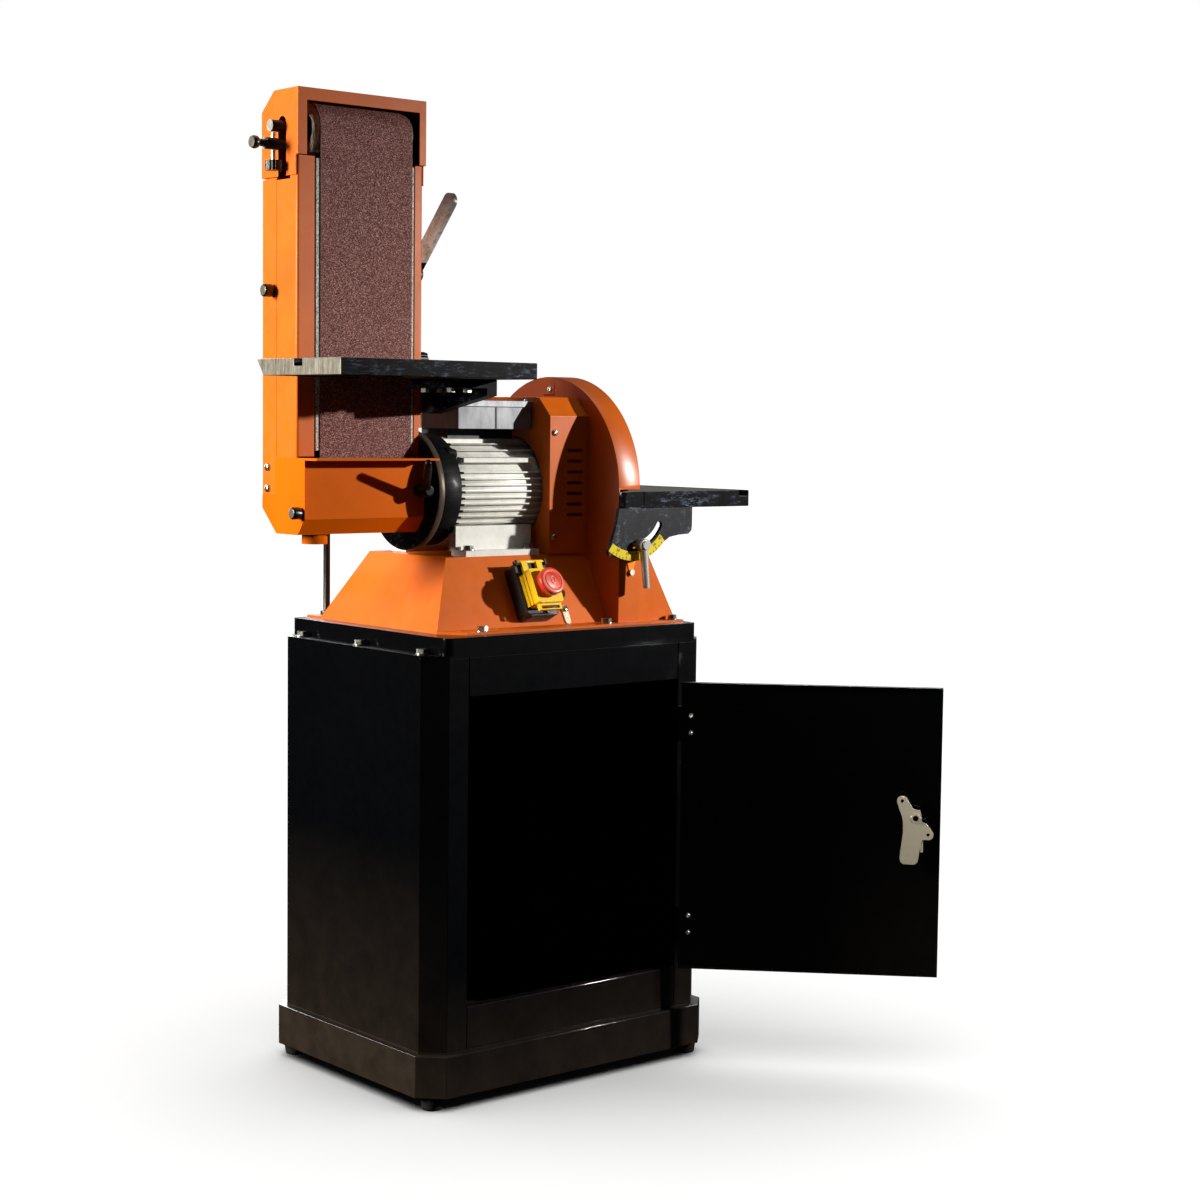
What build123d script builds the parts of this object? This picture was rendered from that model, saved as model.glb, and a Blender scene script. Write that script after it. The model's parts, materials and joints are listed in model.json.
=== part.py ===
# Floor-standing belt and disc sander on a closed cabinet stand.
# Millimetres.  +X runs along the cabinet front to the right, +Y to the back, +Z up.
# Everything is laid out about the middle of the cabinet, then moved so that the
# origin is at the bottom centre of the whole machine's box.
import os
import math
from build123d import *

os.makedirs("parts", exist_ok=True)

# ---------------------------------------------------------------- driving sizes
X_SHIFT, Y_SHIFT = -14.53, 132.77   # cabinet middle, seen from the part's origin

# cabinet stand
CW, CD, CC = 250.0, 194.0, 28.0     # half width, half depth, corner chamfer
SHEET = 2.0
Z_FOOT, Z_PLINTH, Z_FLOOR = 19.0, 77.0, 80.0
Z_BODY, Z_LID, Z_TRAY = 617.0, 620.0, 644.0
OPEN_X, OPEN_Z0, OPEN_Z1 = 189.0, 138.0, 563.0
TRAY_X = 226.0
# door
HX, HY = 190.25, -199.0             # hinge pin
DOOR_OPEN = 134.0                   # degrees open in the rest pose
HINGE_Z = (204.8, 498.7)
LATCH_X, LATCH_Z = -151.5, 374.0    # latch spindle, door closed
# motor line
AY, AZ = 10.0, 836.0                # motor axis, along X
BASE_Z = 744.0
SHAFT_R = 12.5
MOTOR_X0, MOTOR_X1, FIN_R = -112.0, 43.0, 76.0
FIN_X0, BODY_R = -103.0, 71.0
# belt arm
IDLER_Z = 1326.0
DRUM_R, BELT_RI, BELT_RO = 36.4, 36.8, 38.0
BELT_X0, BELT_X1 = -320.0, -170.0
ARM_X0, ARM_X1 = -355.0, -150.0
FL_X0, FL_R = -155.0, 86.0          # pivot flange: left face and radius
# disc end
GUARD_X, GUARD_R = 105.0, 165.0
DISC_R, DISC_X = 152.0, 135.0
TILT_X, TILT_Z = 120.0, 815.0       # disc table tilt axis, along Y
SLOT_R = 57.0
STUD_X = TILT_X + SLOT_R * math.cos(math.radians(-78.0))   # fixed stud that the table locks on
STUD_Z = TILT_Z + SLOT_R * math.sin(math.radians(-78.0))
# tables
BT = (-420.0, -106.0, -231.0, -31.0, 991.0, 1013.0)
DT = (139.0, 347.0, -171.0, 193.0, 812.0, 836.0)
BT_Y, BT_Z = -20.0, 964.0           # belt table tilt axis, along X
# tension lever pivot, along X
TL_Y, TL_Z = 10.0, 1140.0
TS_X = -370.5                       # tracking screw
# switch, on the sloping front face of the base
FACE_Y0, FACE_Y1 = -134.0, -82.0
SW_X, SW_V = -26.0, 50.5
# dust outlet of the disc hopper, along Y
PORT_X, PORT_Z, PORT_R = 138.0, 682.0, 31.5

parts = {}


# ---------------------------------------------------------------- helpers
def bx(x0, x1, y0, y1, z0, z1):
    return Pos((x0 + x1) / 2, (y0 + y1) / 2, (z0 + z1) / 2) * Box(x1 - x0, y1 - y0, z1 - z0)


def cx(x0, x1, y, z, r):
    return Pos((x0 + x1) / 2, y, z) * Rot(0, 90, 0) * Cylinder(r, x1 - x0)


def cy(y0, y1, x, z, r):
    return Pos(x, (y0 + y1) / 2, z) * Rot(90, 0, 0) * Cylinder(r, y1 - y0)


def cz(z0, z1, x, y, r):
    return Pos(x, y, (z0 + z1) / 2) * Cylinder(r, z1 - z0)


def prism(axis, pts, a, b):
    if axis == "x":
        p, d = [(a, u, v) for u, v in pts], (1, 0, 0)
    elif axis == "y":
        p, d = [(u, a, v) for u, v in pts], (0, 1, 0)
    else:
        p, d = [(u, v, a) for u, v in pts], (0, 0, 1)
    return extrude(make_face(Polyline(*p, close=True)), amount=b - a, dir=d)


def octagon(w, d, c):
    return [(-w + c, -d), (w - c, -d), (w, -d + c), (w, d - c),
            (w - c, d), (-w + c, d), (-w, d - c), (-w, -d + c)]


def oct_in(w, d, c, t):
    return octagon(w - t, d - t, c - 0.5858 * t)


def hexagon(cu, cv, af, turn=0.0):
    r = af / math.sqrt(3)
    return [(cu + r * math.cos(math.radians(60 * i + turn)),
             cv + r * math.sin(math.radians(60 * i + turn))) for i in range(6)]


def bolt_z(x, y, z, af=13.0, h=6.0, r=4.0, down=10.0, wr=9.0):
    # hex bolt with washer, head above z
    return (cz(z, z + 1.5, x, y, wr) + prism("z", hexagon(x, y, af, 10), z + 1.5, z + 1.5 + h)
            + cz(z - down, z, x, y, r))


def slot_z(x, y, length, width, z0, z1):
    # long hole along X
    h = (length - width) / 2
    return (bx(x - h, x + h, y - width / 2, y + width / 2, z0, z1)
            + cz(z0, z1, x - h, y, width / 2) + cz(z0, z1, x + h, y, width / 2))


def arc_pts(cu, cv, r, a0, a1, n):
    return [(cu + r * math.cos(math.radians(a0 + (a1 - a0) * i / n)),
             cv + r * math.sin(math.radians(a0 + (a1 - a0) * i / n))) for i in range(n + 1)]


def group(*solids):
    return Compound(children=[s.solid() if len(s.solids()) == 1 else s for s in solids])


def mirror_x(s):
    return mirror(s, about=Plane.YZ)


def sheet_path(pts, t):
    # closed outline of a bent sheet: pts is the outer line, the inside lies to its left
    n = len(pts)
    inner = []
    for i in range(n):
        dirs = []
        for j, k in ((i - 1, i), (i, i + 1)):
            if 0 <= j and k < n:
                dx, dy = pts[k][0] - pts[j][0], pts[k][1] - pts[j][1]
                L = math.hypot(dx, dy)
                dirs.append((-dy / L, dx / L))
        if len(dirs) == 1:
            o = (dirs[0][0] * t, dirs[0][1] * t)
        else:
            (a, b), (c, d) = dirs
            s = t / (1 + a * c + b * d)
            o = ((a + c) * s, (b + d) * s)
        inner.append((pts[i][0] + o[0], pts[i][1] + o[1]))
    return pts + inner[::-1]


# ================================================================ CABINET STAND
feet = []
for sx in (-1, 1):
    for sy in (-1, 1):
        f = Pos(sx * 231, sy * 173, Z_FOOT / 2) * Cone(14, 17, Z_FOOT)
        feet.append(f)
parts["rubber_feet"] = group(*feet)

# plinth: a wall with a ledge at the top, and a plate in each corner for the foot
plinth = (prism("z", octagon(260, 204, 31), Z_FOOT, Z_PLINTH)
          - prism("z", oct_in(260, 204, 31, 2.5), Z_FOOT - 5, Z_PLINTH - 2.5)
          - prism("z", oct_in(260, 204, 31, 25), 0, 100))
corner = prism("z", octagon(259, 203, 31), Z_FOOT, Z_FOOT + 2.5)
for sx in (-1, 1):
    for sy in (-1, 1):
        x0, x1 = sorted((sx * 205, sx * 300))
        y0, y1 = sorted((sy * 147, sy * 300))
        plinth += corner & bx(x0, x1, y0, y1, 0, 40)
parts["plinth"] = plinth
parts["cabinet_floor"] = prism("z", octagon(CW, CD, CC), Z_PLINTH, Z_FLOOR)

# left side: side sheet, both corner chamfers, front and back posts, door jamb return
left_line = [(-OPEN_X, -178), (-OPEN_X, -CD), (-CW + CC, -CD), (-CW, -CD + CC),
             (-CW, CD - CC), (-CW + CC, CD), (-OPEN_X, CD)]
left_line = left_line[::-1]
left = prism("z", sheet_path(left_line, SHEET), Z_FLOOR, Z_BODY)
parts["cabinet_left_side"] = left
parts["cabinet_right_side"] = mirror_x(left)
parts["cabinet_back"] = (bx(-188.5, 188.5, CD - SHEET, CD, Z_FLOOR, Z_BODY)
                         + bx(-188.5, -186.5, CD - 14, CD - SHEET, Z_FLOOR, Z_BODY)
                         + bx(186.5, 188.5, CD - 14, CD - SHEET, Z_FLOOR, Z_BODY))
header = (bx(-188.5, 188.5, -CD, -CD + SHEET, OPEN_Z1, Z_BODY)
          + bx(-188.5, 188.5, -CD + SHEET, -178, OPEN_Z1, OPEN_Z1 + 2))
kick = (bx(-188.5, 188.5, -CD, -CD + SHEET, Z_FLOOR, OPEN_Z0)
        + bx(-188.5, 188.5, -CD + SHEET, -178, OPEN_Z0 - 2, OPEN_Z0))
parts["cabinet_front_panels"] = group(header, kick)

LEDGE = [(sx * 236.0, y) for sx in (-1, 1) for y in (-150.0, 0.0, 150.0)]
lid = prism("z", octagon(CW, CD, CC), Z_BODY, Z_LID) - cz(600, 630, -60, 130, 16)
for x, y in LEDGE:
    lid -= cz(600, 630, x, y, 4.3)
parts["cabinet_top"] = lid

tray = bx(-TRAY_X, TRAY_X, -CD, CD, Z_LID, Z_TRAY)
tray = fillet(tray.edges().filter_by(Axis.Z), 12)
tray -= bx(-TRAY_X + 3, TRAY_X - 3, -CD + 3, CD - 3, Z_LID - 5, Z_TRAY - 3)
tray -= cz(630, 650, -60, 130, 16)
BASE_BOLTS = [(x, y) for x in (-142.0, 80.0) for y in (-160.0, 182.0)]
HOP_BOLTS = [(202.0, -164.5), (202.0, 184.5)]
for x, y in BASE_BOLTS + HOP_BOLTS:
    tray -= cz(630, 650, x, y, 4.3)
parts["top_tray"] = tray

# ---------------------------------------------------------------- door hinges
fixed = []
for zc in HINGE_Z:
    leaf = (bx(195.5, 217, -196, -194, zc - 25, zc + 25)
            + bx(HX, 196, -196, -194, zc - 8, zc + 8)
            + cz(zc - 8, zc + 8, HX, HY, 4.5)
            + cz(zc - 25, zc + 25, HX, HY, 2.5))
    fixed.append(leaf)
parts["door_hinge_fixed_leaves"] = group(*fixed)

# ================================================================ MACHINE BASE
BX0, BX0T, BX1 = -200.0, -148.0, 104.5
BYB, BYBT = 158.0, 106.0


def frustum(inset, zb, zt):
    s0 = (zb - Z_TRAY) / (BASE_Z - Z_TRAY)
    s1 = (zt - Z_TRAY) / (BASE_Z - Z_TRAY)

    def rect(s, z):
        x0 = BX0 + (BX0T - BX0) * s + inset
        y0 = FACE_Y0 + (FACE_Y1 - FACE_Y0) * s + inset
        y1 = BYB + (BYBT - BYB) * s - inset
        return make_face(Polyline((x0, y0, z), (BX1, y0, z), (BX1, y1, z), (x0, y1, z), close=True))
    return loft([rect(s0, zb), rect(s1, zt)])


FOOT_BOLTS = [(-99.0, -69.0), (7.5, -69.0), (-99.0, 89.0), (7.5, 89.0)]
base = frustum(0, Z_TRAY, BASE_Z) - frustum(2.8, Z_TRAY, BASE_Z - 2.5)
base += prism("z", [(BX0, FACE_Y0 + 1.5), (BX0, FACE_Y0), (BX0 + 24, -172), (BX1, -172), (BX1, FACE_Y0 + 1.5)], Z_TRAY, Z_TRAY + 3)
base += bx(BX0, BX1, BYB - 1.5, 192, Z_TRAY, Z_TRAY + 3)
for x, y in BASE_BOLTS:
    base -= cz(640, 650, x, y, 4.3)
for x, y in FOOT_BOLTS:
    base -= cz(730, 750, x, y, 4.3)
for x, y in BASE_BOLTS:
    base -= slot_z(x - 24, y, 15, 6.5, 640, 650)

# sloping front face: local frame, u along X, v up the slope, n out of the face
slope = math.hypot(FACE_Y1 - FACE_Y0, BASE_Z - Z_TRAY)
NV = Vector(0, -(BASE_Z - Z_TRAY) / slope, (FACE_Y1 - FACE_Y0) / slope)
VV = Vector(0, (FACE_Y1 - FACE_Y0) / slope, (BASE_Z - Z_TRAY) / slope)
SW_O = Vector(SW_X, FACE_Y0, Z_TRAY) + VV * SW_V
FACE = Plane(origin=(SW_O.X, SW_O.Y, SW_O.Z), x_dir=(1, 0, 0), z_dir=(NV.X, NV.Y, NV.Z)).location
# rear face for the cable gland
NB = Vector(0, 100.0, BYB - BYBT).normalized()
GL_O = Vector(-60, (BYB + BYBT) / 2, (Z_TRAY + BASE_Z) / 2)
REAR = Plane(origin=(GL_O.X, GL_O.Y, GL_O.Z), x_dir=(-1, 0, 0), z_dir=(NB.X, NB.Y, NB.Z)).location
base -= REAR * Cylinder(8.3, 20)
parts["machine_base"] = base
parts["cable_gland"] = (REAR * (Pos(0, 0, -4) * Cylinder(8, 14)
                                + Pos(0, 0, 5.5) * extrude(RegularPolygon(12.5, 6), amount=8)
                                + Pos(0, 0, 17) * Cone(10, 7.5, 10)
                                + Pos(0, 0, 4.25) * Cylinder(12.5, 2.5)
                                - Pos(0, 0, 5) * Cylinder(4.5, 60)))

# ---------------------------------------------------------------- disc guard and dust hopper
half = prism("x", [(AY - GUARD_R, 647), (AY + GUARD_R, 647), (AY + GUARD_R, AZ), (AY - GUARD_R, AZ)],
             GUARD_X, GUARD_X + 2)
guard = half + cx(GUARD_X, GUARD_X + 2, AY, AZ, GUARD_R)
rim = cx(GUARD_X + 1, 145, AY, AZ, GUARD_R) - cx(GUARD_X, 150, AY, AZ, GUARD_R - 2)
rim -= bx(GUARD_X - 5, 160, AY - 200, AY + 200, 600, 838.5)
guard += rim
guard -= cx(GUARD_X - 5, GUARD_X + 5, AY, AZ, 40)
# slits that free the bent tab above the motor cover
guard -= bx(GUARD_X - 5, GUARD_X + 5, -4.7, -3.3, 973.3, 991) + bx(GUARD_X - 5, GUARD_X + 5, -6.8, 21.4, 973.3, 974.7)
parts["disc_guard"] = guard

side = [(105, 647), (218, 647), (162, 742), (126, 795), (105, 795)]
hop_f = prism("y", side, -157, -155) & bx(100, 144.3, -160, -150, 640, 800)
hop_f += prism("y", side, -158, -148) & prism("z", [(144, -157), (222, -151.6), (222, -149.6), (144, -155)], 640, 800)
hop_b = prism("y", side, 175, 177)
du, dz = 56 / math.hypot(56, 95), 95 / math.hypot(56, 95)
slant = prism("y", [(218, 647), (162, 742), (162 - 2 * dz, 742 - 2 * du), (218 - 2 * dz, 647 - 0.0)], -153.5, 175.5)
slant -= prism("z", [(144, -160), (232, -160), (232, -150.5), (144, -156.6)], 640, 800)
hopper = hop_f + hop_b + slant
hopper += bx(105, 218, -172, -155, Z_TRAY, 647) + bx(105, 218, 175, 192, Z_TRAY, 647)
hopper += bx(214, 218, -172, 192, Z_TRAY, 647)
hopper += cy(176, 217, PORT_X, PORT_Z, PORT_R)
hopper -= cy(170, 225, PORT_X, PORT_Z, PORT_R - 2)
hopper -= cy(-165, -150, STUD_X, STUD_Z, 4.06)
hopper -= cy(170, 180, STUD_X, STUD_Z, 4.3)
hopper -= cy(-165, -150, 127, 719, 2.2)
for x, y in HOP_BOLTS:
    hopper -= cz(640, 650, x, y, 4.3) + slot_z(x - 20, y, 15, 6.5, 640, 650)
parts["disc_dust_hopper"] = hopper

# pointer for the tilt scale
ptr = prism("y", [(122.5, 713), (131.5, 713), (131.5, 724), (135.5, 736), (127, 739), (118.5, 736), (122.5, 724)], -158.5, -157)
ptr += cy(-161.5, -158.5, 127, 719, 4.2) + cy(-157, -150, 127, 719, 2.0)
parts["tilt_pointer"] = ptr

# ---------------------------------------------------------------- louvred motor cover
MC0, MCY0, MCY1, MCZ, MCC = 33.0, -85.0, 105.0, 970.0, 27.0
prof = [(MCY0, BASE_Z), (MCY0, MCZ - MCC), (MCY0 + MCC, MCZ), (MCY1 - MCC, MCZ), (MCY1, MCZ - MCC), (MCY1, BASE_Z)]
pin = [(MCY0 + 2, BASE_Z - 5), (MCY0 + 2, MCZ - MCC - 0.83), (MCY0 + MCC + 0.83, MCZ - 2),
       (MCY1 - MCC - 0.83, MCZ - 2), (MCY1 - 2, MCZ - MCC - 0.83), (MCY1 - 2, BASE_Z - 5)]
cover = prism("x", prof, MC0, GUARD_X) - prism("x", pin, MC0 + 2, GUARD_X + 5)
cover -= cx(MC0 - 5, MC0 + 5, AY, AZ, 78.5)
for i in range(7):
    z = 798 + i * 15.5
    cover -= bx(66, 94, MCY0 - 5, MCY0 + 5, z, z + 4)
    cover -= bx(66, 94, MCY1 - 5, MCY1 + 5, z, z + 4)
parts["motor_cover"] = cover

# ---------------------------------------------------------------- motor
FIN_Z = [901.6, 892.7] + [861.8 - 9.0 * i for i in range(10)]
fins = bx(MOTOR_X0, MOTOR_X1, AY - 24, AY + 24, 898, 920)
for z in FIN_Z:
    fins += bx(FIN_X0, MOTOR_X1, AY - 80, AY + 80, z - 1.0, z + 1.0)
fins = fins & cx(MOTOR_X0, MOTOR_X1, AY, AZ, FIN_R)
body = cx(MOTOR_X0, MOTOR_X1, AY, AZ, BODY_R) + fins
for s in (-1, 1):
    y0, y1 = sorted((AY + s * 91, AY + s * 56))
    body += bx(MOTOR_X0, 18, y0, y1, BASE_Z, BASE_Z + 8)
    w0, w1 = sorted((AY + s * 66, AY + s * 50))
    body += bx(MOTOR_X0, 22, w0, w1, BASE_Z + 7, 786)
body += prism("x", [(-62, 876), (-62, 882), (-46, 883.5), (-46, 873.5)], FIN_X0, 24)
LUGS = [(AY + 73 * math.cos(math.radians(a)), AZ + 73 * math.sin(math.radians(a))) for a in (45, 135, 225, 315)]
for y, z in LUGS:
    body -= cx(MOTOR_X0 - 1, MOTOR_X0 + 8.5, y, z, 9.4)
body -= cx(MOTOR_X0 - 5, MOTOR_X1 + 5, AY, AZ, 56)
for x, y in FOOT_BOLTS:
    body -= cz(730, 760, x, y, 4.3)
parts["motor_body"] = body

# drive end bell, black, with the round spigot that the arm swings on
bell = cx(FL_X0 + 10.5, MOTOR_X0, AY, AZ, 80) - cx(-127, MOTOR_X0 + 5, AY, AZ, 58) - cx(-141, -133, AY, AZ, 72) + cx(-142, -132, AY, AZ, 40)
bell += cx(-134.5, -114, AY, AZ, 33)
bell += cx(FL_X0 + 0.5, -134, AY, AZ, 29.95)
bell -= cx(-131, -110, AY, AZ, 26.0)
bell -= cx(-165, -120, AY, AZ, 16)
for z in FIN_Z:
    bell += (bx(MOTOR_X0 - 1, FIN_X0, AY - 80, AY + 80, z - 2.4, z + 1.0)
             & (cx(MOTOR_X0 - 1, FIN_X0, AY, AZ, FIN_R + 0.5) - cx(MOTOR_X0 - 2, FIN_X0 + 1, AY, AZ, BODY_R + 0.1)))
for y, z in LUGS:
    bell -= cx(MOTOR_X0, FIN_X0 + 1, y, z, 9.4)
for y, z in LUGS:
    bell += cx(-122, MOTOR_X0, y, z, 9) + prism("x", hexagon(y, z, 13, 15), MOTOR_X0 - 0.5, MOTOR_X0 + 7)
parts["motor_drive_bell"] = bell
rear = cx(MOTOR_X1, 66, AY, AZ, 74) - cx(MOTOR_X1 - 5, 56, AY, AZ, 58)
rear += cx(46, 66, AY, AZ, 33)
rear -= cx(40, 62, AY, AZ, 26.0)
rear -= cx(55, 75, AY, AZ, 16)
parts["motor_disc_bell"] = rear
parts["stator"] = cx(-90, 20, AY, AZ, 55.9) - cx(-95, 25, AY, AZ, 38.6)
parts["motor_bearings"] = group(cx(-131, -116, AY, AZ, 25.95) - cx(-135, -110, AY, AZ, SHAFT_R + 0.05),
                                cx(47, 62, AY, AZ, 25.95) - cx(40, 70, AY, AZ, SHAFT_R + 0.05))

tb_out = fillet(bx(-103, 30, AY - 56, AY + 56, 923.5, 954.5).edges().filter_by(Axis.Z), 2.5)
tb_out += prism("z", [(-37, AY - 55), (-37, AY - 56), (-35, AY - 57), (-33, AY - 56), (-33, AY - 55)], 924, 954)
tb_out += bx(-94, 22, AY - 20, AY + 44, 890, 924) - cx(-120, 60, AY, AZ, FIN_R + 0.2)
parts["terminal_box"] = tb_out - bx(-99, 26, AY - 52, AY + 52, 927.5, 960)
parts["terminal_box_lid"] = fillet(bx(-104.5, 31.5, AY - 58, AY + 58, 954.5, 964).edges().filter_by(Axis.Z), 3)

# all zinc hex bolts of the stand
bolts = [bolt_z(x, y, Z_LID, down=9) for x, y in LEDGE]
bolts += [bolt_z(x, y, 647, down=9) for x, y in BASE_BOLTS]
bolts += [bolt_z(x, y, 647, af=11, down=9, wr=7) for x, y in HOP_BOLTS]
bolts += [bolt_z(x, y, BASE_Z + 8, down=14) for x, y in FOOT_BOLTS]
# rear trunnion bolt, with its nut outside the slot
rb = cy(172, 202, STUD_X, STUD_Z, 4.0) + cy(193, 195, STUD_X, STUD_Z, 10)
rb += prism("y", hexagon(STUD_X, STUD_Z, 13), 195, 201)
bolts.append(rb)
parts["hex_bolts"] = group(*bolts)

# ---------------------------------------------------------------- arm rest rod
rod = cz(647, 772, -174, 180, 5.0) + cz(647, 653, -174, 180, 9)
rod = rod + cz(770, 781, -174, 180, 8)
parts["arm_rest_rod"] = rod

# ---------------------------------------------------------------- switch
sw = Pos(0, 0, 12) * Box(58, 83, 24)
sw = fillet(sw.edges().filter_by(Axis.Z), 9)
sw = chamfer(sw.faces().sort_by(Axis.Z)[-1].edges(), 1.2)
sw -= Pos(0, -22, 19) * Cylinder(7.06, 22)
sw -= Pos(4, -37, 24) * Cylinder(2.6, 6)
sw += Pos(-25.5, 38.5, 25.5) * Box(2.4, 8, 9) + Pos(25.5, 38.5, 25.5) * Box(2.4, 8, 9)
sw -= Pos(0, 40, 27) * Rot(0, 90, 0) * Cylinder(1.55, 80)
parts["switch_box"] = FACE * sw
flap = Pos(0, -5.25, 36.3) * Box(44, 51.5, 23.4)
flap = fillet(flap.edges().filter_by(Axis.Z), 5)
flap += Pos(0, -5.25, 27.4) * Box(50, 47, 5.6) + Pos(0, -5.25, 33.0) * Box(47, 47, 5.6)
flap = flap - Pos(0, -5.4, 33) * Box(38, 47.9, 22)
for x in (-13, 13):
    flap += Pos(x, 29.5, 27.2) * Box(10, 21, 5) + Pos(x, 21, 33) * Box(10, 5, 16)
flap += Pos(0, 40, 27) * Rot(0, 90, 0) * Cylinder(2.4, 40)
flap += Pos(0, 40, 27) * Rot(0, 90, 0) * Cylinder(1.5, 54)
flap += Pos(0, -35.5, 40) * Box(40, 9, 4.6)
flap -= Pos(0, -36, 40) * Box(32, 4.8, 10)
flap -= Pos(0, -4.5, 42) * Cylinder(9.06, 28)
parts["switch_cover"] = FACE * flap
stop = Pos(0, -4.5, 45.5) * Cylinder(9.0, 21) + Pos(0, -4.5, 59) * Cylinder(20.5, 10)
stop = fillet(stop.edges().group_by(Axis.Z)[-1], 4)
stop -= Pos(0, -4.5, 64) * (Cylinder(14.4, 1.6) - Cylinder(12.6, 2))
parts["stop_button"] = FACE * stop
parts["start_button"] = FACE * (Pos(0, -22, 20) * Cylinder(7.0, 14))

# ================================================================ ROTOR
parts["rotor_and_shaft"] = (cx(-338, 117, AY, AZ, SHAFT_R) + cx(-92, 22, AY, AZ, 38)
                            - cx(-345, -326, AY, AZ, 4))
fan = cx(71, 88, AY, AZ, 20) + cx(84, 86, AY, AZ, 62)
for i in range(8):
    blade = bx(71, 84.5, AY + 18, AY + 60, AZ - 1.2, AZ + 1.2)
    fan += blade.rotate(Axis((0, AY, AZ), (1, 0, 0)), 45 * i)
parts["cooling_fan"] = fan - cx(60, 95, AY, AZ, SHAFT_R + 0.03)
drum = cx(BELT_X0 - 2, BELT_X1 + 2, AY, AZ, DRUM_R)
drum -= cx(BELT_X0 - 5, BELT_X0 + 25, AY, AZ, 31) - cx(BELT_X0 - 10, BELT_X0 + 30, AY, AZ, 20)
drum -= cx(BELT_X1 - 25, BELT_X1 + 5, AY, AZ, 31) - cx(BELT_X1 - 30, BELT_X1 + 10, AY, AZ, 20)
parts["drive_drum"] = drum - cx(-400, -100, AY, AZ, SHAFT_R + 0.03)
disc = cx(118, DISC_X, AY, AZ, DISC_R) - cx(117, 127, AY, AZ, 138) + cx(96, 130, AY, AZ, 30)
for i in range(6):
    rib = bx(119, 128, AY + 28, AY + 140, AZ - 3, AZ + 3)
    disc += rib.rotate(Axis((0, AY, AZ), (1, 0, 0)), 60 * i)
parts["disc_plate"] = disc - cx(90, 117.5, AY, AZ, SHAFT_R + 0.03)
parts["abrasive_disc"] = cx(DISC_X, DISC_X + 1.2, AY, AZ, DISC_R)

# ================================================================ BELT ARM
frame = bx(ARM_X0, ARM_X0 + 2.5, -25, 26, 800, 1256) + bx(ARM_X1 - 2.5, ARM_X1, -25, 26, 924, 1256)
frame = frame + bx(ARM_X0, -327.5, -25, -22.5, 884, 1256) + bx(-163, ARM_X1, -25, -22.5, 924, 1256)
frame += bx(ARM_X0, -327.5, -25, -22.5, 1250, 1286.5) + bx(-163, ARM_X1, -25, -22.5, 1250, 1286.5)
frame += bx(ARM_X0, ARM_X0 + 2.5, -25, -8, 1250, 1286.5) + bx(ARM_X1 - 2.5, ARM_X1, -25, -8, 1250, 1286.5)
le = [e for e in frame.edges().filter_by(Axis.Z)
      if abs(e.center().Y + 25) < 0.01 and (abs(e.center().X - ARM_X0) < 0.01 or abs(e.center().X - ARM_X1) < 0.01)
      and e.length > 300]
frame = fillet(le, 3.4)
frame += bx(FL_X0 - 2.5, FL_X0, -25, 26, 800, 926.5) + bx(FL_X0 - 2.5, ARM_X1, -25, 26, 924, 926.5)
frame += bx(-163, FL_X0, -25, -22.5, 884, 925)
for z in (940.0, 1198.0):
    frame += cx(ARM_X0 + 1, ARM_X1 - 1, 12, z, 10)
frame += bx(-268, -222, -8, 32, 1172, 1224)
frame -= bx(-260.4, -229.6, -0.4, 24.4, 1160, 1240)
frame -= cx(-165, -140, AY, AZ, 31)
frame -= cx(-360, -345, AY, AZ, 20)
frame -= cx(-160, -140, TL_Y, TL_Z, 8.06)
# boss and pin on the right side that carry the belt table
frame += cx(ARM_X1 - 0.5, -134, BT_Y, BT_Z, 19) + cx(-140, -106, BT_Y, BT_Z, 8.0)
frame += prism("x", hexagon(BT_Y, BT_Z, 22), -112.5, -106)
frame += cx(ARM_X1 - 0.5, -145, 2, 1021, 9)
frame -= cx(-160, -120, 2, 1021, 4.06)
parts["arm_frame"] = frame

up_prof = [(-30, 1376), (31, 1376), (62, 1349), (62, 1260), (-24, 1260), (-24, 1287), (-30, 1287)]
uo = prism("x", up_prof, -357, -148)
ui = prism("x", [(-40, 1374), (30.2, 1374), (60, 1348.2), (60, 1250), (-40, 1250)], -355, -150)
upper = uo - ui
upper += bx(-357, -342.5, -30, -28, 1287, 1376) + bx(-159.5, -148, -30, -28, 1287, 1376)
upper += bx(-345, -157, -30, -28, 1359, 1376)
upper += bx(-150, -148, -18, 40, 1226, 1261)
slot = bx(-360, -350, 0, 20, 1250, 1330) + cx(-360, -350, AY, 1330, 10)
upper -= slot
parts["upper_cover"] = upper

rear = bx(ARM_X0, ARM_X1, 60, 62, 828, 1258)
rear += bx(ARM_X0, ARM_X0 + 2, 27, 61, 828, 1258) + bx(ARM_X1 - 2, ARM_X1, 27, 61, 828, 1258)
rear -= cx(FL_X0 - 0.5, -140, AY, AZ, FL_R + 2)
rear += bx(FL_X0 - 2.5, FL_X0 - 0.5, 27, 61, 828, 926)
rear += bx(ARM_X0 + 1.5, ARM_X0 + 3.5, 28, 58, 1240, 1268) + bx(ARM_X1 - 3.5, ARM_X1 - 1.5, 28, 58, 1240, 1268)
parts["rear_cover"] = rear

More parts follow.
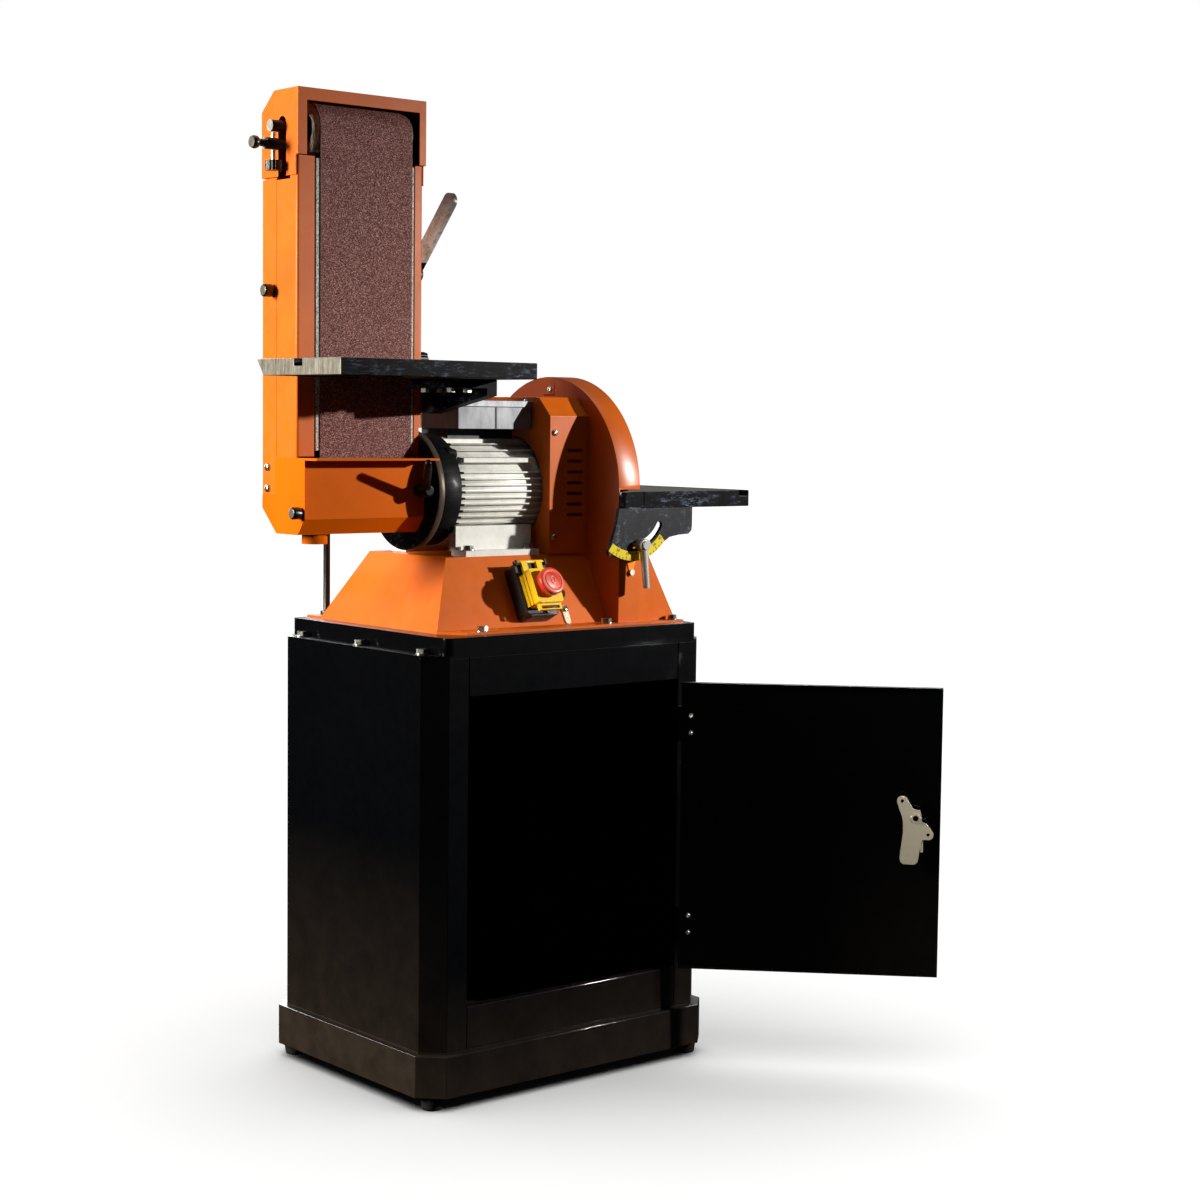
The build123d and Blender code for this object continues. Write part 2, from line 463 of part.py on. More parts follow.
LKX, LKZ = -170.0, 837.0            # arm lock lever
LG0, LG1 = ARM_X0 - 2, FL_X0 - 2.5  # lower guard, from its left side panel to the pivot flange plate
lg_prof = [(-48, 882), (27.5, 882), (27.5, 830), (60, 830), (60, 812), (24, 778), (-30.5, 778), (-48, 800)]
lower = prism("x", lg_prof, LG0, LG0 + 2)
lower += bx(LG0 + 1, LG1, -43, -41, 799, 881)
lower += bx(LG0, FL_X0 - 0.4, -77, -31, 879, 882)
lower += prism("x", [(-43, 800), (-41, 800), (-23.8, 780), (-25.4, 778)], LG0 + 1, LG1)
lower += bx(LG0 + 1, LG1, -26, 24, 778, 780)
lower += prism("x", [(24, 778), (60, 812), (58.6, 813.4), (23.2, 780)], LG0 + 1, LG1)
lower += bx(ARM_X0, ARM_X0 + 2.5, -41.5, -25, 806, 826) + bx(LG1 - 2.5, LG1, -41.5, -25, 806, 826)
lower += bx(LG1 - 2.5, FL_X0, -25.0 - 2.5, -25.0, 806, 826)
lower += cz(764, 779, -313, -4, 17.5)
lower -= cz(750, 785, -313, -4, 15.5)
lower -= cy(-50, -35, LKX, LKZ, 4.06)
parts["lower_guard"] = lower

plat = bx(-326, -166, -26.4, -20.4, 892, 1284)
plat += bx(-326, -323, -21, 14, 900, 1230) + bx(-169, -166, -21, 14, 900, 1230)
plat -= cx(-400, -100, 12, 940, 10.05) + cx(-400, -100, 12, 1198, 10.05)
plat -= cx(-400, -100, TL_Y, TL_Z, 15)
plat -= bx(-400, -100, -1, 30, 1165, 1240)
parts["platen"] = plat


def stadium(r, x0, x1):
    return (cx(x0, x1, AY, AZ, r) + cx(x0, x1, AY, IDLER_Z, r)
            + bx(x0, x1, AY - r, AY + r, AZ, IDLER_Z))


parts["sanding_belt"] = stadium(BELT_RO, BELT_X0, BELT_X1) - stadium(BELT_RI, BELT_X0 - 5, BELT_X1 + 5)

flange = cx(FL_X0, FL_X0 + 10, AY, AZ, FL_R) - cx(-165, -130, AY, AZ, 30.0)
parts["pivot_flange"] = flange

knob1 = cx(-372, -359, 35, 1108, 9) + cx(-359, ARM_X0, 35, 1108, 5)
knob1 = fillet(knob1.edges().group_by(Axis.X)[0], 3)
knob2 = cx(-373, -360, -39.5, 808, 8.4) + cx(-360, LG0, -39.5, 808, 5)
knob2 = fillet(knob2.edges().group_by(Axis.X)[0], 3)
parts["cover_knobs"] = group(knob1, knob2)


def pan(x0, y, z, r, sgn):
    s = Pos(x0 + sgn * 1.6, y, z) * Rot(0, 90, 0) * Cylinder(r, 3.2)
    return fillet(s.edges().group_by(Axis.X)[0 if sgn < 0 else -1], 1.5)


scr = [pan(ARM_X0, 48, 868, 5.5, -1), pan(ARM_X0, 48, 839, 5.5, -1),
       pan(ARM_X1, 51, 1232, 5, 1), pan(ARM_X1, 51, 950, 5, 1)]
parts["arm_screws"] = group(*scr)

springs = []
for x in (-300.0, -190.0):
    hx = Pos(x, 12, 1210) * Helix(pitch=6.0, height=31.5, radius=7.0)
    sec = Plane(origin=hx @ 0, z_dir=hx % 0) * Circle(1.3)
    springs.append(sweep(sec, path=hx))
parts["tension_springs"] = group(*springs)

# ---------------------------------------------------------------- idler carriage, sliding along the arm
car = bx(-260, -230, 0, 24, 1158, 1250)
car += bx(-338, -156, 2, 22, 1246, 1262)
car += bx(-338, -331, 0, 22, 1246, 1340) + bx(-163, -156, 0, 22, 1246, 1340)
car += cx(-376, -156, AY, IDLER_Z, 8.0)
car += cx(-384, -336, AY, 1302, 8.0)
car -= cz(1290, 1312, TS_X, AY, 3.06)
car -= cx(-390, -380.5, AY, 1302, 2.56)
parts["idler_carriage"] = car
parts["idler_drum"] = cx(BELT_X0 - 2, BELT_X1 + 2, AY, IDLER_Z, DRUM_R) - cx(-400, -100, AY, IDLER_Z, 20.03)
parts["idler_bearings"] = group(*[cx(a, a + 14, AY, IDLER_Z, 20.0) - cx(-400, -100, AY, IDLER_Z, 8.05)
                                  for a in (BELT_X0, BELT_X1 - 14)])

kn = cz(1266.5, 1280, TS_X, AY, 11.2)
for i in range(16):
    a = math.radians(360 / 16 * i)
    kn -= cz(1260, 1290, TS_X + 11.9 * math.cos(a), AY + 11.9 * math.sin(a), 1.6)
parts["tracking_screw"] = kn + cz(1280, 1317, TS_X, AY, 3.0)
tk = cx(-397, -381, AY, 1302, 2.5) + cx(-390, -384.4, AY, 1302, 5)
tk += Pos(-400, AY, 1302) * Sphere(8.8) & cx(-404.5, -392, AY, 1302, 9)
parts["tracking_lock_knob"] = tk

# ---------------------------------------------------------------- tension lever and its cam shaft
LV_X0, LV_X1 = -118.0, -110.0       # outer bar
LI_X0, LI_X1 = -138.0, -131.0       # crank that carries it
KNEE = (38.0, 1156.0)


def strip_x(p, q, w, x0, x1):
    # flat bar with round ends between two points of the side plane
    d = math.hypot(q[0] - p[0], q[1] - p[1])
    u, v = (q[1] - p[1]) / d * w, -(q[0] - p[0]) / d * w
    flat = prism("x", [(p[0] + u, p[1] + v), (q[0] + u, q[1] + v), (q[0] - u, q[1] - v), (p[0] - u, p[1] - v)], x0, x1)
    return flat + cx(x0, x1, p[0], p[1], w) + cx(x0, x1, q[0], q[1], w)


bar = strip_x(KNEE, (-40, 1240.7), 11.5, LV_X0, LV_X1)
bar += strip_x((TL_Y, TL_Z), KNEE, 10.5, LI_X0, LI_X1) + cx(LI_X0, LV_X1, KNEE[0], KNEE[1], 8)
bar += cx(-147, LI_X1, TL_Y, TL_Z, 10.5) + cx(LI_X1, LI_X1 + 1.6, TL_Y, TL_Z, 5.5)
bar += cx(-268, LI_X0, TL_Y, TL_Z, 8.0)
bar += cx(-262, -228, TL_Y, TL_Z + 6, 8.0)
parts["tension_lever"] = bar

# ---------------------------------------------------------------- arm lock lever
hd = cy(-74, -52, LKX, LKZ, 9.5)
hd = fillet(hd.edges().group_by(Axis.Y)[0], 4)
hd += cy(-56, -37, LKX, LKZ, 4.0) + cy(-52.5, -43.4, LKX, LKZ, 7)
LK0, LK1 = Vector(LKX, -65, LKZ + 1), Vector(-195, -105, 876)
lkd = (LK1 - LK0).normalized()
h = loft([Plane(origin=(LK0.X, LK0.Y, LK0.Z), z_dir=(lkd.X, lkd.Y, lkd.Z)) * Circle(6.5),
          Plane(origin=(LK1.X, LK1.Y, LK1.Z), z_dir=(lkd.X, lkd.Y, lkd.Z)) * Circle(5.2)])
h += Pos(LK1.X, LK1.Y, LK1.Z) * Sphere(5.2)
parts["arm_lock_lever"] = hd + h

# ================================================================ BELT TABLE
x0, x1, y0, y1, z0, z1 = BT
bt = prism("x", [(y0, z0), (y1 - 15, z0), (y1, z1 - 3), (y1, z1), (y0, z1)], x0, x1)
bt -= bx(x0 - 5, x1 + 5, -140.5, -121.0, z1 - 10, z1 + 5)
for a, b in ((x0 + 12, -270), (-258, -200)):
    bt -= bx(a, b, -219, -150, z0 - 5, z0 + 11)
    bt -= bx(a, b, -112, -60, z0 - 5, z0 + 11)
parts["belt_table"] = bt
BB = [(-180.0, -75.0), (-152.0, -75.0), (-180.0, -135.0), (-152.0, -135.0)]
br = bx(-194, -114, -152, -62, z0 - 12, z0)
ear = cx(-131, -114, BT_Y, BT_Z, 20) + prism("x", [(BT_Y, BT_Z - 20), (BT_Y, BT_Z + 20), (-62, z0 - 2), (-152, z0 - 2), (-152, z0 - 22)], -131, -114)
br = br + ear - cx(-140, -106, BT_Y, BT_Z, 8.06)
for x, y in BB:
    br += prism("z", hexagon(x, y, 11), z0 - 18, z0 - 12)
parts["belt_table_bracket"] = br
tkn = cx(-158, -142, 2, 1021, 4.0) + cx(-144.4, -126, 2, 1021, 10)
for i in range(7):
    a = math.radians(360 / 7 * i)
    tkn -= cx(-142, -120, 2 + 12 * math.cos(a), 1021 + 12 * math.sin(a), 3.5)
parts["belt_table_knob"] = tkn

# ================================================================ DISC TABLE
x0, x1, y0, y1, z0, z1 = DT
dt = prism("y", [(x0, z1), (x0, z1 - 8), (x0 + 16, z0), (x1, z0), (x1, z1)], y0, y1)
dt += bx(x0, x0 + 17, y0, y0 + 12.5, z0, z1) + bx(x0, x0 + 17, y1 - 12.5, y1, z0, z1)
dt -= bx(327, 343.5, y0 - 5, y1 + 5, z1 - 9, z1 + 5)
for a, b in ((-140, -50), (-38, 60), (72, 162)):
    dt -= bx(170, 315, a, b, z0 - 5, z0 + 13)
parts["disc_table"] = dt
ARC_R = 79.0                        # lower edge of the trunnions, about the tilt axis
tr_prof = [(93, 812), (88, 786), (77, 757), (73.5, 750), (77, 744)]
tr_prof += [(TILT_X + ARC_R * math.cos(math.radians(-118)), TILT_Z + ARC_R * math.sin(math.radians(-118)))]
tr_prof += [(TILT_X, TILT_Z - ARC_R - 24), (TILT_X + 58, TILT_Z - ARC_R - 4)]
tr_prof += [(TILT_X + ARC_R * math.cos(math.radians(-42)), TILT_Z + ARC_R * math.sin(math.radians(-42)))]
tr_prof += [(190, 769), (208, 772), (227, 773), (233, 778), (234, 785), (234, 812)]


def sector(y0, y1, a0, a1):
    return prism("y", [(TILT_X, TILT_Z)] + arc_pts(TILT_X, TILT_Z, 200, a0, a1, 6), y0, y1)


def arc_slot(y0, y1):
    a0, a1 = -86.0, -29.0
    s = cy(y0, y1, TILT_X, TILT_Z, SLOT_R + 5.2) - cy(y0 - 1, y1 + 1, TILT_X, TILT_Z, SLOT_R - 5.2)
    s = s & sector(y0, y1, a0, a1)
    for a in (a0, a1):
        s += cy(y0, y1, TILT_X + SLOT_R * math.cos(math.radians(a)), TILT_Z + SLOT_R * math.sin(math.radians(a)), 5.2)
    return s




def trunnion(y0, y1):
    # plate whose lower edge between -118 and -42 degrees runs on a circle about the tilt axis
    t = prism("y", tr_prof, y0, y1)
    ring = sector(y0 - 1, y1 + 1, -118, -42) - cy(y0 - 2, y1 + 2, TILT_X, TILT_Z, ARC_R)
    return t - ring


tf = trunnion(-170, -164) + bx(165, 228, -165, -143, 806, 812)
tf -= arc_slot(-175, -160)
tb = trunnion(186, 192) + bx(165, 228, 165, 187, 806, 812)
tb -= arc_slot(180, 198)
parts["disc_trunnions"] = group(tf, tb)

lk = cy(-186, -153, STUD_X, STUD_Z, 4.0) + cy(-185, -171, STUD_X, STUD_Z, 9)
lk += cy(-188, -184, STUD_X, STUD_Z, 6.5)
lk += loft([Plane(origin=(STUD_X, -179, STUD_Z), z_dir=(0, 0, -1)) * Circle(6.2),
            Plane(origin=(STUD_X + 3, -183.5, STUD_Z - 62), z_dir=(0, 0, -1)) * Circle(5)])
parts["disc_table_lock_lever"] = lk

# ================================================================ DOOR, built shut and then swung open
dp = bx(-187.5, 187.5, -194, -192, 140.5, 560.5)
dp += bx(-187.5, -185.5, -192, -182, 140.5, 560.5) + bx(185.5, 187.5, -192, -182, 140.5, 560.5)
dp += bx(-187.5, 187.5, -192, -182, 140.5, 142.5) + bx(-187.5, 187.5, -192, -182, 558.5, 560.5)
dp -= cy(-200, -180, LATCH_X, LATCH_Z, 6.06)
for zc in HINGE_Z:
    dp += bx(163, 185, -196, -194, zc - 25, zc + 25)
    for a, b in ((zc - 25, zc - 8.3), (zc + 8.3, zc + 25)):
        dp += bx(184, HX, -196, -194, a, b) + cz(a, b, HX, HY, 4.5)
    dp -= cz(zc - 30, zc + 30, HX, HY, 2.55)
cam_uv = [(-26.6, 22.0), (-23.0, 10.9), (-19.8, 2.6), (-17.9, -5.8), (-17.4, -20.9), (-18.8, -35.0), (-20.6, -48.2),
          (-21.6, -59.5), (-20.4, -64.2), (-16.6, -67.4), (-3.0, -68.2), (1.6, -67.0), (4.2, -63.6), (5.2, -58.0),
          (8.5, -36.1), (10.6, -32.4), (15.0, -31.4), (24.9, -20.4), (16.2, -8.4), (9.2, -6.3), (8.2, 4.0), (6.4, 11.0),
          (-3.2, 12.6), (-12.4, 27.2)]
cam = prism("y", [(LATCH_X - u, LATCH_Z + v) for u, v in cam_uv], -176, -173)
for u, v in ((-19.2, 23.8), (18.5, -24.2)):
    cam += cy(-176, -173, LATCH_X - u, LATCH_Z + v, 7.6)
for u, v in ((-19.2, 23.8), (18.5, -24.2)):
    cam -= cy(-180, -170, LATCH_X - u, LATCH_Z + v, 2.4)
cam += bx(LATCH_X - 11.5, LATCH_X - 7.5, -176, -174, LATCH_Z - 50, LATCH_Z - 34)
cam += prism("y", hexagon(LATCH_X, LATCH_Z, 13), -173, -168)
cam -= cy(-180, -165, LATCH_X, LATCH_Z, 4.0)
hnd = cy(-197, -176, LATCH_X, LATCH_Z, 6.0) + cy(-180, -167, LATCH_X, LATCH_Z, 3.97)
hnd += cy(-200, -194.4, LATCH_X, LATCH_Z, 14)
hb = Pos(LATCH_X, -207, LATCH_Z) * Box(14, 16, 62)
hb = fillet(hb.edges().filter_by(Axis.Y), 6.5)
hnd += hb
door_axis = Axis((HX, HY, 0), (0, 0, 1))
parts["door"] = dp.rotate(door_axis, DOOR_OPEN)
parts["latch_cam"] = cam.rotate(door_axis, DOOR_OPEN)
parts["latch_handle"] = hnd.rotate(door_axis, DOOR_OPEN)

# ================================================================ write
whole = None
for name, p in parts.items():
    b = p.bounding_box()
    if whole is None:
        whole = [b.min.X, b.min.Y, b.min.Z, b.max.X, b.max.Y, b.max.Z]
    else:
        whole = [min(whole[0], b.min.X), min(whole[1], b.min.Y), min(whole[2], b.min.Z),
                 max(whole[3], b.max.X), max(whole[4], b.max.Y), max(whole[5], b.max.Z)]
print("box", [round(v, 3) for v in whole])
print("shift for a centred box", round(-(whole[0] + whole[3]) / 2, 3), round(-(whole[1] + whole[4]) / 2, 3))
for name, p in parts.items():
    solids = [Pos(X_SHIFT, Y_SHIFT, 0) * s for s in p.solids()]
    export_step(solids[0] if len(solids) == 1 else Compound(children=solids), "parts/%s.step" % name)
print(len(parts), "nodes")
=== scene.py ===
import json
import math
import bpy
import bmesh
from mathutils import Vector, Matrix

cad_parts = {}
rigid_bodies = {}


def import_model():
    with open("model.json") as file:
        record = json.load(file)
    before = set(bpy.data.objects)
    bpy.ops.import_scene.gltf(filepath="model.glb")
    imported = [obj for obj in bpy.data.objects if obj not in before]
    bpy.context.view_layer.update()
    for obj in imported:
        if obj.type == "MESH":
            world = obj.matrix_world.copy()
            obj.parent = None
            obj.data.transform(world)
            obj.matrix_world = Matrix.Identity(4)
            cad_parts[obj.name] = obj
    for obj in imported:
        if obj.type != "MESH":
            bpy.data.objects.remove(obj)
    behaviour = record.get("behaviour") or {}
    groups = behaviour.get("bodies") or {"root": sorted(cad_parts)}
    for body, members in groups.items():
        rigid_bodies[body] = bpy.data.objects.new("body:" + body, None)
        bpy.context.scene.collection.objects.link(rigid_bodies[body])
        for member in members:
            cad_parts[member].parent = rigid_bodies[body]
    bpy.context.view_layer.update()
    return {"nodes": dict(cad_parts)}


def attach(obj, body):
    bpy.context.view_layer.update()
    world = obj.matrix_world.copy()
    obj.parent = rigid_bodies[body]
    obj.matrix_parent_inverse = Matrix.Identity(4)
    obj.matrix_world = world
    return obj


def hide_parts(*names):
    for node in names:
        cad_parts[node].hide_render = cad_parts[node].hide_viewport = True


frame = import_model()
N = frame["nodes"]
SX, SY = -14.53, 132.77          # middle of the cabinet in the part's frame, mm
SCN = bpy.context.scene


def P(x, y, z):
    return Vector(((x + SX) / 1000, (y + SY) / 1000, z / 1000))


# ------------------------------------------------------------------ camera
def camera():
    az, el, roll = math.radians(-40.19), math.radians(4.29), math.radians(0.69)
    back = Vector((math.sin(az) * math.cos(el), -math.cos(az) * math.cos(el), math.sin(el)))
    right = Vector((math.cos(az), math.sin(az), 0))
    up = back.cross(right)
    r2 = math.cos(roll) * right + math.sin(roll) * up
    u2 = -math.sin(roll) * right + math.cos(roll) * up
    cam = bpy.data.cameras.new("camera")
    ob = bpy.data.objects.new("camera", cam)
    SCN.collection.objects.link(ob)
    m = Matrix((r2, u2, back)).transposed().to_4x4()
    m.translation = P(-1990, -2623, 937.1)
    ob.matrix_world = m
    cam.sensor_width = 36
    cam.lens = 67.58
    cam.shift_x, cam.shift_y = -12.5 / 1200, -10.3 / 1200
    cam.clip_start, cam.clip_end = 0.05, 200
    SCN.camera = ob


camera()


# ------------------------------------------------------------------ material kit
def lin(c):
    out = []
    for v in c:
        v = v / 255
        out.append(v / 12.92 if v <= 0.04045 else ((v + 0.055) / 1.055) ** 2.4)
    return (*out, 1)


class Mat:
    """A Principled material in object coordinates (metres, part frame)."""

    def __init__(self, name, base, rough=0.4, metal=0.0, spec=0.5, coat=0.0, coat_rough=0.1):
        self.m = bpy.data.materials.new(name)
        self.m.use_nodes = True
        self.nt = self.m.node_tree
        self.b = self.nt.nodes["Principled BSDF"]
        self.b.inputs["Base Color"].default_value = lin(base)
        self.b.inputs["Roughness"].default_value = rough
        self.b.inputs["Metallic"].default_value = metal
        self.b.inputs["Specular IOR Level"].default_value = spec
        self.b.inputs["Coat Weight"].default_value = coat
        self.b.inputs["Coat Roughness"].default_value = coat_rough
        self.base, self.rough, self.metal = lin(base), rough, metal
        self.tc = self.add("ShaderNodeTexCoord")
        self.sep = None

    def add(self, kind):
        return self.nt.nodes.new(kind)

    def link(self, a, b):
        self.nt.links.new(a, b)

    def co(self, scale=None):
        if scale is None:
            return self.tc.outputs["Object"]
        n = self.add("ShaderNodeMapping")
        n.inputs["Scale"].default_value = scale
        self.link(self.tc.outputs["Object"], n.inputs["Vector"])
        return n.outputs[0]

    def noise(self, scale, detail=3.0, rough=0.5, stretch=None, dist=0.0):
        n = self.add("ShaderNodeTexNoise")
        n.inputs["Scale"].default_value = scale
        n.inputs["Detail"].default_value = detail
        n.inputs["Roughness"].default_value = rough
        n.inputs["Distortion"].default_value = dist
        self.link(self.co(stretch), n.inputs["Vector"])
        return n.outputs[0]

    def voronoi(self, scale, stretch=None, out="Distance", feature="F1"):
        n = self.add("ShaderNodeTexVoronoi")
        n.feature = feature
        n.inputs["Scale"].default_value = scale
        self.link(self.co(stretch), n.inputs["Vector"])
        return n.outputs[out]

    def ramp(self, fac, lo, hi, a=0.0, b=1.0):
        n = self.add("ShaderNodeMapRange")
        n.inputs["From Min"].default_value = lo
        n.inputs["From Max"].default_value = hi
        n.inputs["To Min"].default_value = a
        n.inputs["To Max"].default_value = b
        self.link(fac, n.inputs["Value"])
        return n.outputs[0]

    def math(self, op, a, b=None):
        n = self.add("ShaderNodeMath")
        n.operation = op
        for i, v in enumerate((a, b)):
            if v is None:
                continue
            if isinstance(v, (int, float)):
                n.inputs[i].default_value = v
            else:
                self.link(v, n.inputs[i])
        return n.outputs[0]

    def xyz(self):
        if self.sep is None:
            self.sep = self.add("ShaderNodeSeparateXYZ")
            self.link(self.tc.outputs["Object"], self.sep.inputs[0])
        return self.sep.outputs

    def side(self, axis, mm, soft=0.2, above=True):
        """1 where the cabinet-frame coordinate is above (or below) mm."""
        off = (SX, SY, 0)[axis]
        v = (mm + off) / 1000
        s = soft / 1000
        return self.ramp(self.xyz()[axis], v - s, v + s, 0 if above else 1, 1 if above else 0)

    def normal(self, axis, lo=0.6, hi=0.8, sign=1):
        n = self.add("ShaderNodeSeparateXYZ")
        self.link(self.tc.outputs["Normal"], n.inputs[0])
        o = n.outputs[axis]
        if sign < 0:
            o = self.math("MULTIPLY", o, -1.0)
        return self.ramp(o, lo, hi)

    def mixc(self, fac, a, b):
        n = self.add("ShaderNodeMix")
        n.data_type = "RGBA"
        for sock, v in ((n.inputs[6], a), (n.inputs[7], b)):
            if isinstance(v, tuple):
                sock.default_value = v
            else:
                self.link(v, sock)
        self.link(fac, n.inputs[0])
        return n.outputs[2]

    def mixf(self, fac, a, b):
        n = self.add("ShaderNodeMix")
        for sock, v in ((n.inputs[2], a), (n.inputs[3], b)):
            if isinstance(v, (int, float)):
                sock.default_value = v
            else:
                self.link(v, sock)
        self.link(fac, n.inputs[0])
        return n.outputs[0]

    def bump(self, height, strength=0.2, dist=0.0005):
        n = self.add("ShaderNodeBump")
        n.inputs["Strength"].default_value = strength
        n.inputs["Distance"].default_value = dist
        self.link(height, n.inputs["Height"])
        self.link(n.outputs[0], self.b.inputs["Normal"])

    def set(self, sock, v):
        self.link(v, self.b.inputs[sock])


def paint(name, base, dark, rough=0.4, coat=0.08, coat_rough=0.2, peel=0.06, spec=0.2):
    m = Mat(name, base, rough, 0.0, spec, coat, coat_rough)
    big = m.noise(9, 4, 0.55)
    fine = m.noise(60, 5, 0.65)
    c = m.mixc(m.ramp(big, 0.35, 0.7), m.base, lin(dark))
    spots = m.ramp(m.noise(420, 2, 0.5), 0.68, 0.74)
    c = m.mixc(m.math("MULTIPLY", spots, 0.35), c, lin([v * 0.55 for v in dark]))
    m.set("Base Color", c)
    m.set("Roughness", m.ramp(fine, 0.3, 0.7, rough - 0.06, rough + 0.08))
    m.bump(m.noise(700, 2, 0.5), peel, 0.0004)
    return m


def metal(name, base, rough=0.3, stretch=None, scale=40, amount=0.12, tone=0.75, bump=0.05):
    m = Mat(name, base, rough, 1.0)
    n = m.noise(scale, 5, 0.6, stretch)
    dark = tuple(v * tone for v in m.base[:3]) + (1,)
    m.set("Base Color", m.mixc(m.ramp(n, 0.35, 0.68), m.base, dark))
    m.set("Roughness", m.ramp(n, 0.3, 0.7, rough - amount / 2, rough + amount))
    m.bump(n, bump, 0.0003)
    return m


def plastic(name, base, rough=0.42, grain=900, bump=0.08, var=0.82, coat=0.0):
    m = Mat(name, base, rough, 0.0, 0.45, coat, 0.2)
    n = m.noise(30, 4, 0.6)
    dark = tuple(v * var for v in m.base[:3]) + (1,)
    m.set("Base Color", m.mixc(m.ramp(n, 0.35, 0.7), m.base, dark))
    m.set("Roughness", m.ramp(n, 0.3, 0.7, rough - 0.07, rough + 0.08))
    m.bump(m.noise(grain, 2, 0.5), bump, 0.0003)
    return m


ORANGE, ORANGE_D = (214, 102, 13), (200, 91, 10)

orange = paint("orange_paint", ORANGE, ORANGE_D)

# front flat of the lower guard and its slanted bottom are a purer orange
guard_orange = paint("orange_guard", (218, 100, 6), (206, 92, 5), spec=0.04, coat=0.03)

# the rolled rim of the disc guard has the glossiest coat
rim_orange = paint("orange_rim", (206, 96, 12), (192, 86, 9), coat=1.0, coat_rough=0.36)

# upper cover: the inside face of its right wall is painted near-black, a painted shade in the gap beside the belt
cover_orange = paint("orange_cover", ORANGE, ORANGE_D)
_m = cover_orange
_inner_wall_shade = _m.math("MULTIPLY", _m.side(0, -152.0), _m.normal(0, sign=-1))
_c = _m.b.inputs["Base Color"].links[0].from_socket
_m.set("Base Color", _m.mixc(_inner_wall_shade, _c, lin((14, 12, 11))))

# frame of the arm: orange, its table boss and pin bare black
frame_orange = paint("orange_frame", ORANGE, ORANGE_D)
_m = frame_orange
_boss = _m.math("MAXIMUM", _m.side(0, -149.2), _m.side(1, -25.7, 0.1, False))
_c = _m.b.inputs["Base Color"].links[0].from_socket
_m.set("Base Color", _m.mixc(_boss, _c, lin((18, 18, 19))))

black = paint("black_gloss", (2, 3, 5), (4, 5, 8), rough=0.45, coat=0.5, coat_rough=0.05, peel=0.02, spec=0.03)
black_front = paint("black_front", (2, 3, 5), (4, 5, 8), rough=0.45, coat=0.5, coat_rough=0.05, peel=0.02, spec=0.03)
black_front.set("Coat Weight", black_front.ramp(black_front.xyz()[2], 0.3, 0.4, 0.5, 0.03))
# low parts of the black panels get a brownish haze: dust near the floor, and on faces looking left a painted floor
# reflection reaching higher
for _m in (black, black_front):
    _c = _m.b.inputs["Base Color"].links[0].from_socket
    _left_floor_reflection = _m.math("MULTIPLY", _m.ramp(_m.xyz()[2], 0.36, 0.08, 0, 0.52), _m.normal(0, sign=-1))
    _dust_and_floor_reflection = _m.math("MULTIPLY", _m.math("MAXIMUM", _left_floor_reflection, _m.ramp(_m.xyz()[2], 0.19, 0.02, 0, 0.5)),
                    _m.ramp(_m.noise(26, 5, 0.65), 0.3, 0.7, 0.5, 1.0))
    _m.set("Base Color", _m.mixc(_dust_and_floor_reflection, _c, lin((66, 56, 47))))


def cast_black(name, bare=None):
    m = Mat(name, (4, 5, 8), 0.46, 0.0, 0.04)
    n = m.noise(45, 5, 0.7)
    scuff = m.ramp(m.noise(120, 6, 0.78, (0.45, 1, 1.6)), 0.52, 0.68)
    patch = m.ramp(m.noise(17, 4, 0.65), 0.42, 0.6)
    s = m.math("MULTIPLY", scuff, patch)
    c = m.mixc(m.ramp(n, 0.35, 0.7), m.base, lin((12, 14, 19)))
    c = m.mixc(s, c, lin((106, 117, 136)))
    r = m.ramp(n, 0.3, 0.7, 0.32, 0.5)
    if bare is not None:
        mask = bare(m)
        brush = m.noise(420, 4, 0.7, (0.1, 1, 0.12))
        brush2 = m.noise(60, 4, 0.7)
        steel = m.mixc(m.ramp(brush, 0.36, 0.66), lin((170, 167, 157)), lin((128, 125, 117)))
        end = m.normal(0, sign=-1)
        steel = m.mixc(m.math("MULTIPLY", m.ramp(m.noise(240, 4, 0.7, (0.12, 1, 0.12)), 0.4, 0.66, 0, 0.8), end), steel, lin((96, 92, 84)))
        steel = m.mixc(m.ramp(brush2, 0.46, 0.72, 0, 0.4), steel, lin((84, 80, 72)))
        c = m.mixc(mask, c, steel)
        r = m.mixf(mask, r, 0.34)
        m.set("Metallic", m.ramp(mask, 0, 1, 0, 0.6))
    m.set("Base Color", c)
    m.set("Roughness", r)
    m.bump(m.noise(330, 4, 0.6), 0.18, 0.0005)
    return m


def end_and_top(x_end, z_top):
    def f(m):
        return m.math("MAXIMUM", m.normal(2), m.normal(0, sign=-1))
    return f


belt_table = cast_black("cast_black_belt_table", end_and_top(-420, 1013))
disc_table = cast_black("cast_black_disc_table", lambda m: m.normal(2))
bracket_black = cast_black("cast_black_bracket")
_m = bracket_black
_bolt = _m.side(2, 978.9, 0.05, False)
_bolt = _m.math("MULTIPLY", _bolt, _m.math("MULTIPLY", _m.side(0, -172 + 30, 0.2, False), _m.side(1, -64, 0.2, False)))
_hex = _m.math("MULTIPLY", _bolt, _m.side(2, 972.0, 0.05, True))

motor_black = paint("motor_black", (11, 11, 12), (18, 18, 19), rough=0.48, coat=0.03, coat_rough=0.2, peel=0.12, spec=0.1)
trunnion = Mat("trunnion_grey", (34, 37, 43), 0.42, 0.0, 0.15)
_n = trunnion.noise(48, 6, 0.72)
_s = trunnion.ramp(trunnion.noise(150, 6, 0.78), 0.53, 0.70)
_p = trunnion.ramp(trunnion.noise(22, 4, 0.65), 0.42, 0.62)
_c = trunnion.mixc(trunnion.ramp(_n, 0.36, 0.66), trunnion.base, lin((15, 16, 19)))
trunnion.set("Base Color", trunnion.mixc(trunnion.math("MULTIPLY", _s, _p), _c, lin((122, 130, 144))))
trunnion.set("Roughness", trunnion.ramp(_n, 0.3, 0.7, 0.32, 0.52))
trunnion.bump(trunnion.noise(420, 3, 0.6), 0.15, 0.0004)

